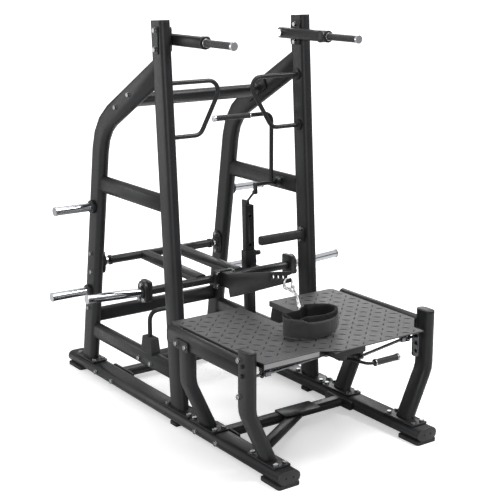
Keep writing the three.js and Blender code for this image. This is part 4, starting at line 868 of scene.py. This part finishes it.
# A place on the belt's oval: its centre line moved outwards by offset along the oval's normal.
def beltPlaces(degrees, offset):
    angle, reach = np.radians(degrees), np.array([beltOval["reachX"], beltOval["reachY"]])
    circle = np.stack([np.cos(angle), np.sin(angle)], 1)
    normal = circle / reach
    normal = normal / np.linalg.norm(normal, axis=1)[:, None]
    centre = np.array([beltOval["x"], beltOval["y"]])
    return centre + reach * circle + vec(offset).reshape(-1, 1) * normal, normal


# A band's lower and upper edge at each angle, eased between the stated angles.
def beltEdges(kind, degrees):
    band = beltBands[kind]
    if kind not in beltRise:
        return np.full(len(degrees), float(band["low"])), np.full(len(degrees), float(band["high"]))
    return band["low"] + np.interp(degrees, *beltLift), band["high"] + np.interp(degrees, *beltRise[kind])


# Rings of a band: at each place a rounded rectangle as thick as given and as tall as from low to high.
def ringBand(places, normal, low, high, thick, radius):
    radius = min(radius, thick / 2 - 0.1)
    corner = roundedSection(2 * radius, 2 * radius, radius, 5)
    out = np.sign(corner[:, 0]) * (thick / 2 - radius) + corner[:, 0]
    up = corner[:, 1][None, :] + np.sign(corner[:, 1])[None, :] * ((high - low)[:, None] / 2 - radius)
    flat = places[:, None, :] + out[None, :, None] * normal[:, None, :]
    points = np.concatenate([flat, ((low + high)[:, None] / 2 + up)[:, :, None]], 2)
    return points.reshape(-1, 3), ringFaces(len(places), len(corner))


# A band of the belt: rings at even angles along the oval, between the band's two edges.
def bandForm(kind):
    band = beltBands[kind]
    degrees = np.linspace(*band["angles"], band.get("rings", 90))
    places, normal = beltPlaces(degrees, band["offset"])
    return ringBand(places, normal, *beltEdges(kind, degrees), band["thick"], band["radius"])


# A strap narrows from the liner's end to the clip, sagging a little outwards on its way.
def strapForm(angle, clip, thick, bow, low, high, ease, radius):
    places, normal = beltPlaces(np.array([float(angle)]), beltBands["liner"]["offset"])
    share = np.linspace(0, 1, 15)
    along = unit(clip - places[0])
    across = np.array([along[1], -along[0]])
    across = across if across @ normal[0] > 0 else -across
    path = places[0] + (clip - places[0]) * share[:, None] + np.sin(math.pi * share)[:, None] * bow * across
    foot, head = (ends[0] + (ends[1] - ends[0]) * share**ease for ends in (low, high))
    return ringBand(path, np.broadcast_to(across, path.shape), foot, head, thick, radius)


# Cloth under pressure swells the band; each point moves no further than the cap, and none into the deck.
def inflate(piece, voxel, quality, mass, pressure, steps, cap, gap):
    remesh = piece.modifiers.new("remesh", "REMESH")
    remesh.mode = "VOXEL"
    remesh.voxel_size = voxel * mm
    mesh = settled(piece)
    before, after = np.empty((2, len(mesh.vertices) * 3))
    mesh.vertices.foreach_get("co", before)
    cloth = piece.modifiers.new("cloth", "CLOTH")
    cloth.settings.quality = quality
    cloth.settings.mass = mass
    cloth.settings.use_pressure = True
    cloth.settings.uniform_pressure_force = pressure
    cloth.settings.effector_weights.gravity = 0
    cloth.collision_settings.use_collision = False
    cloth.point_cache.frame_start = 1
    cloth.point_cache.frame_end = steps
    for step in range(1, steps + 1):
        bpy.context.scene.frame_set(step)
    swollen = settled(piece)
    swollen.vertices.foreach_get("co", after)
    move = (after - before).reshape(-1, 3)
    reach = np.linalg.norm(move, axis=1)
    move *= np.minimum(1, cap * mm / np.maximum(reach, 1e-9))[:, None]
    places = before.reshape(-1, 3) + move
    places[:, 2] = np.maximum(places[:, 2], (deckPlan["top"] + gap) * mm)
    swollen.vertices.foreach_set("co", places.ravel())
    swollen.polygons.foreach_set("use_smooth", np.ones(len(swollen.polygons), bool))
    bpy.context.scene.frame_set(1)
    smooth = piece.modifiers.new("round", "SUBSURF")
    smooth.levels = smooth.render_levels = 1
    return reach.max() / mm


# A stitch is a short wire that dives into the shell at both ends; a row has even pitches along one edge.
def stitchForms(upper, long, pitch, wire, inset, offset, dive, ends):
    first, last = beltBands["shell"]["angles"]
    around = (beltOval["reachX"] + beltOval["reachY"]) / 2
    middles = np.linspace(first + ends, last - ends, int(math.radians(last - first) * around / pitch))
    half = math.degrees(long / 2 / around)
    low, high = beltEdges("shell", middles)
    forms = []
    for middle, height in zip(middles, high - inset if upper else low + inset):
        places, _ = beltPlaces(np.linspace(middle - half, middle + half, 4),
                               [offset - dive, offset, offset, offset - dive])
        forms.append(sweptForm(circleSection(wire, 6), np.column_stack([places, np.full(4, height)]), zAxis))
    return forms


# The liner stands for the belt's solid; shell, patch, stitches and straps are laid on it.
def makeBelt():
    for kind, finish, fill in (("liner", "beltLining", 0.7), ("shell", "beltCloth", 0.5)):
        piece = makePiece(f"belt_{kind}", [bandForm(kind)], finish, "belt_and_chain")
        print(f"belt {kind} swelled", round(float(inflate(piece, **clothPlan)), 2), "mm")
        if kind == "liner":
            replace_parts(piece, "belt")
    makePiece("belt_patch", [bandForm("patch")], "beltCloth", "belt_and_chain")
    stitches = stitchForms(True, **stitchPlan) + stitchForms(False, **stitchPlan)
    makePiece("belt_stitches", stitches, "sewingThread", "belt_and_chain", sharp=60)
    straps = [strapForm(angle, **strapPlan) for angle in strapAngles]
    makePiece("belt_straps", straps, "beltLining", "belt_and_chain")


makeBelt()
print("belt made")


# The studio has soft lamps, a white world behind and in the reflections, and a pale floor.
lampAim = (0, 0, 1.0)
lamps = {
    "key": {"place": (-4.4, -2.4, 2.4), "size": 3.0, "watts": 70},
    "fill": {"place": (1.9, -1.9, 4.2), "size": 1.8, "watts": 125},
    "top": {"place": (0.6, 0.2, 5.4), "size": 3.4, "watts": 90},
    "rim": {"place": (-3.8, 4.0, 2.0), "size": 3.2, "watts": 62},
    "back": {"place": (3.6, 3.8, 3.0), "size": 3.0, "watts": 70},
}
worldPlan = {"ambient": 0.55, "shown": 1.0, "bandLow": 0.08, "bandEdge": 0.1, "bandEnd": 0.42}
floorPlan = {"reach": 60.0, "colour": (0.88, 0.88, 0.88), "glowNear": 0.42, "glowFar": 1.0, "near": 1.6,
             "far": 5.5}


# A soft round lamp, turned to look at the aim.
def makeLamp(name, place, size, watts):
    data = bpy.data.lights.new(name, "AREA")
    data.shape = "DISK"
    data.size = size
    data.energy = watts
    light = addObject(name, data)
    light.location = place
    light.rotation_euler = (Vector(lampAim) - Vector(place)).to_track_quat("-Z", "Y").to_euler()


# The world's level is one for the camera, ambient for diffuse light, and in reflections a darker horizon.
def makeWorld(ambient, shown, bandLow, bandEdge, bandEnd):
    world = bpy.data.worlds.new("studio")
    bpy.context.scene.world = world
    world.use_nodes = True
    tree = world.node_tree
    background = tree.nodes["Background"]
    background.inputs["Color"].default_value = (1, 1, 1, 1)
    path = addNode(tree, "ShaderNodeLightPath").outputs
    ways = {0: path["Is Glossy Ray"], 1: path["Is Transmission Ray"]}
    shiny = addNode(tree, "ShaderNodeMath", ways, operation="MAXIMUM").outputs[0]
    heading = addNode(tree, "ShaderNodeTexCoord").outputs["Generated"]
    height = addNode(tree, "ShaderNodeSeparateXYZ", {"Vector": heading}).outputs["Z"]
    height = addNode(tree, "ShaderNodeMath", {0: height}, operation="ABSOLUTE").outputs[0]
    ranges = {"Value": height, "From Min": bandEdge, "From Max": bandEnd, "To Min": bandLow, "To Max": shown}
    band = addNode(tree, "ShaderNodeMapRange", ranges).outputs["Result"]
    level = addNode(tree, "ShaderNodeMix", {0: shiny, 2: ambient, 3: band}).outputs[0]
    level = addNode(tree, "ShaderNodeMix", {0: path["Is Camera Ray"], 2: level, 3: shown}).outputs[0]
    tree.links.new(level, background.inputs["Strength"])


# The floor glows a little for the camera alone, more with distance, so it reads as white paper.
def makeFloor(reach, colour, glowNear, glowFar, near, far):
    finish = Finish("paleFloor", colour, 0.9)
    finish.setting("Specular IOR Level", 0.1)
    finish.drive("Roughness", finish.spread(finish.noise(3.0), 0.85, 0.95))
    away = finish.node("ShaderNodeVectorMath", {"Vector": finish.places}, operation="LENGTH").outputs["Value"]
    glow = finish.spread(away, glowNear, glowFar, near, far)
    seen = finish.node("ShaderNodeLightPath").outputs["Is Camera Ray"]
    glow = finish.node("ShaderNodeMath", {0: glow, 1: seen}, operation="MULTIPLY").outputs["Value"]
    finish.setting("Emission Color", (1, 1, 1, 1))
    finish.drive("Emission Strength", glow)
    mesh = bpy.data.meshes.new("floor")
    corners = [(-reach, -reach, 0), (reach, -reach, 0), (reach, reach, 0), (-reach, reach, 0)]
    mesh.from_pydata(corners, [], [(0, 1, 2, 3)])
    mesh.materials.append(finish.data)
    addObject("floor", mesh)


for name, lamp in lamps.items():
    makeLamp(name, **lamp)
makeWorld(**worldPlan)
makeFloor(**floorPlan)
bpy.context.scene.view_settings.view_transform = "Standard"
print("studio made")
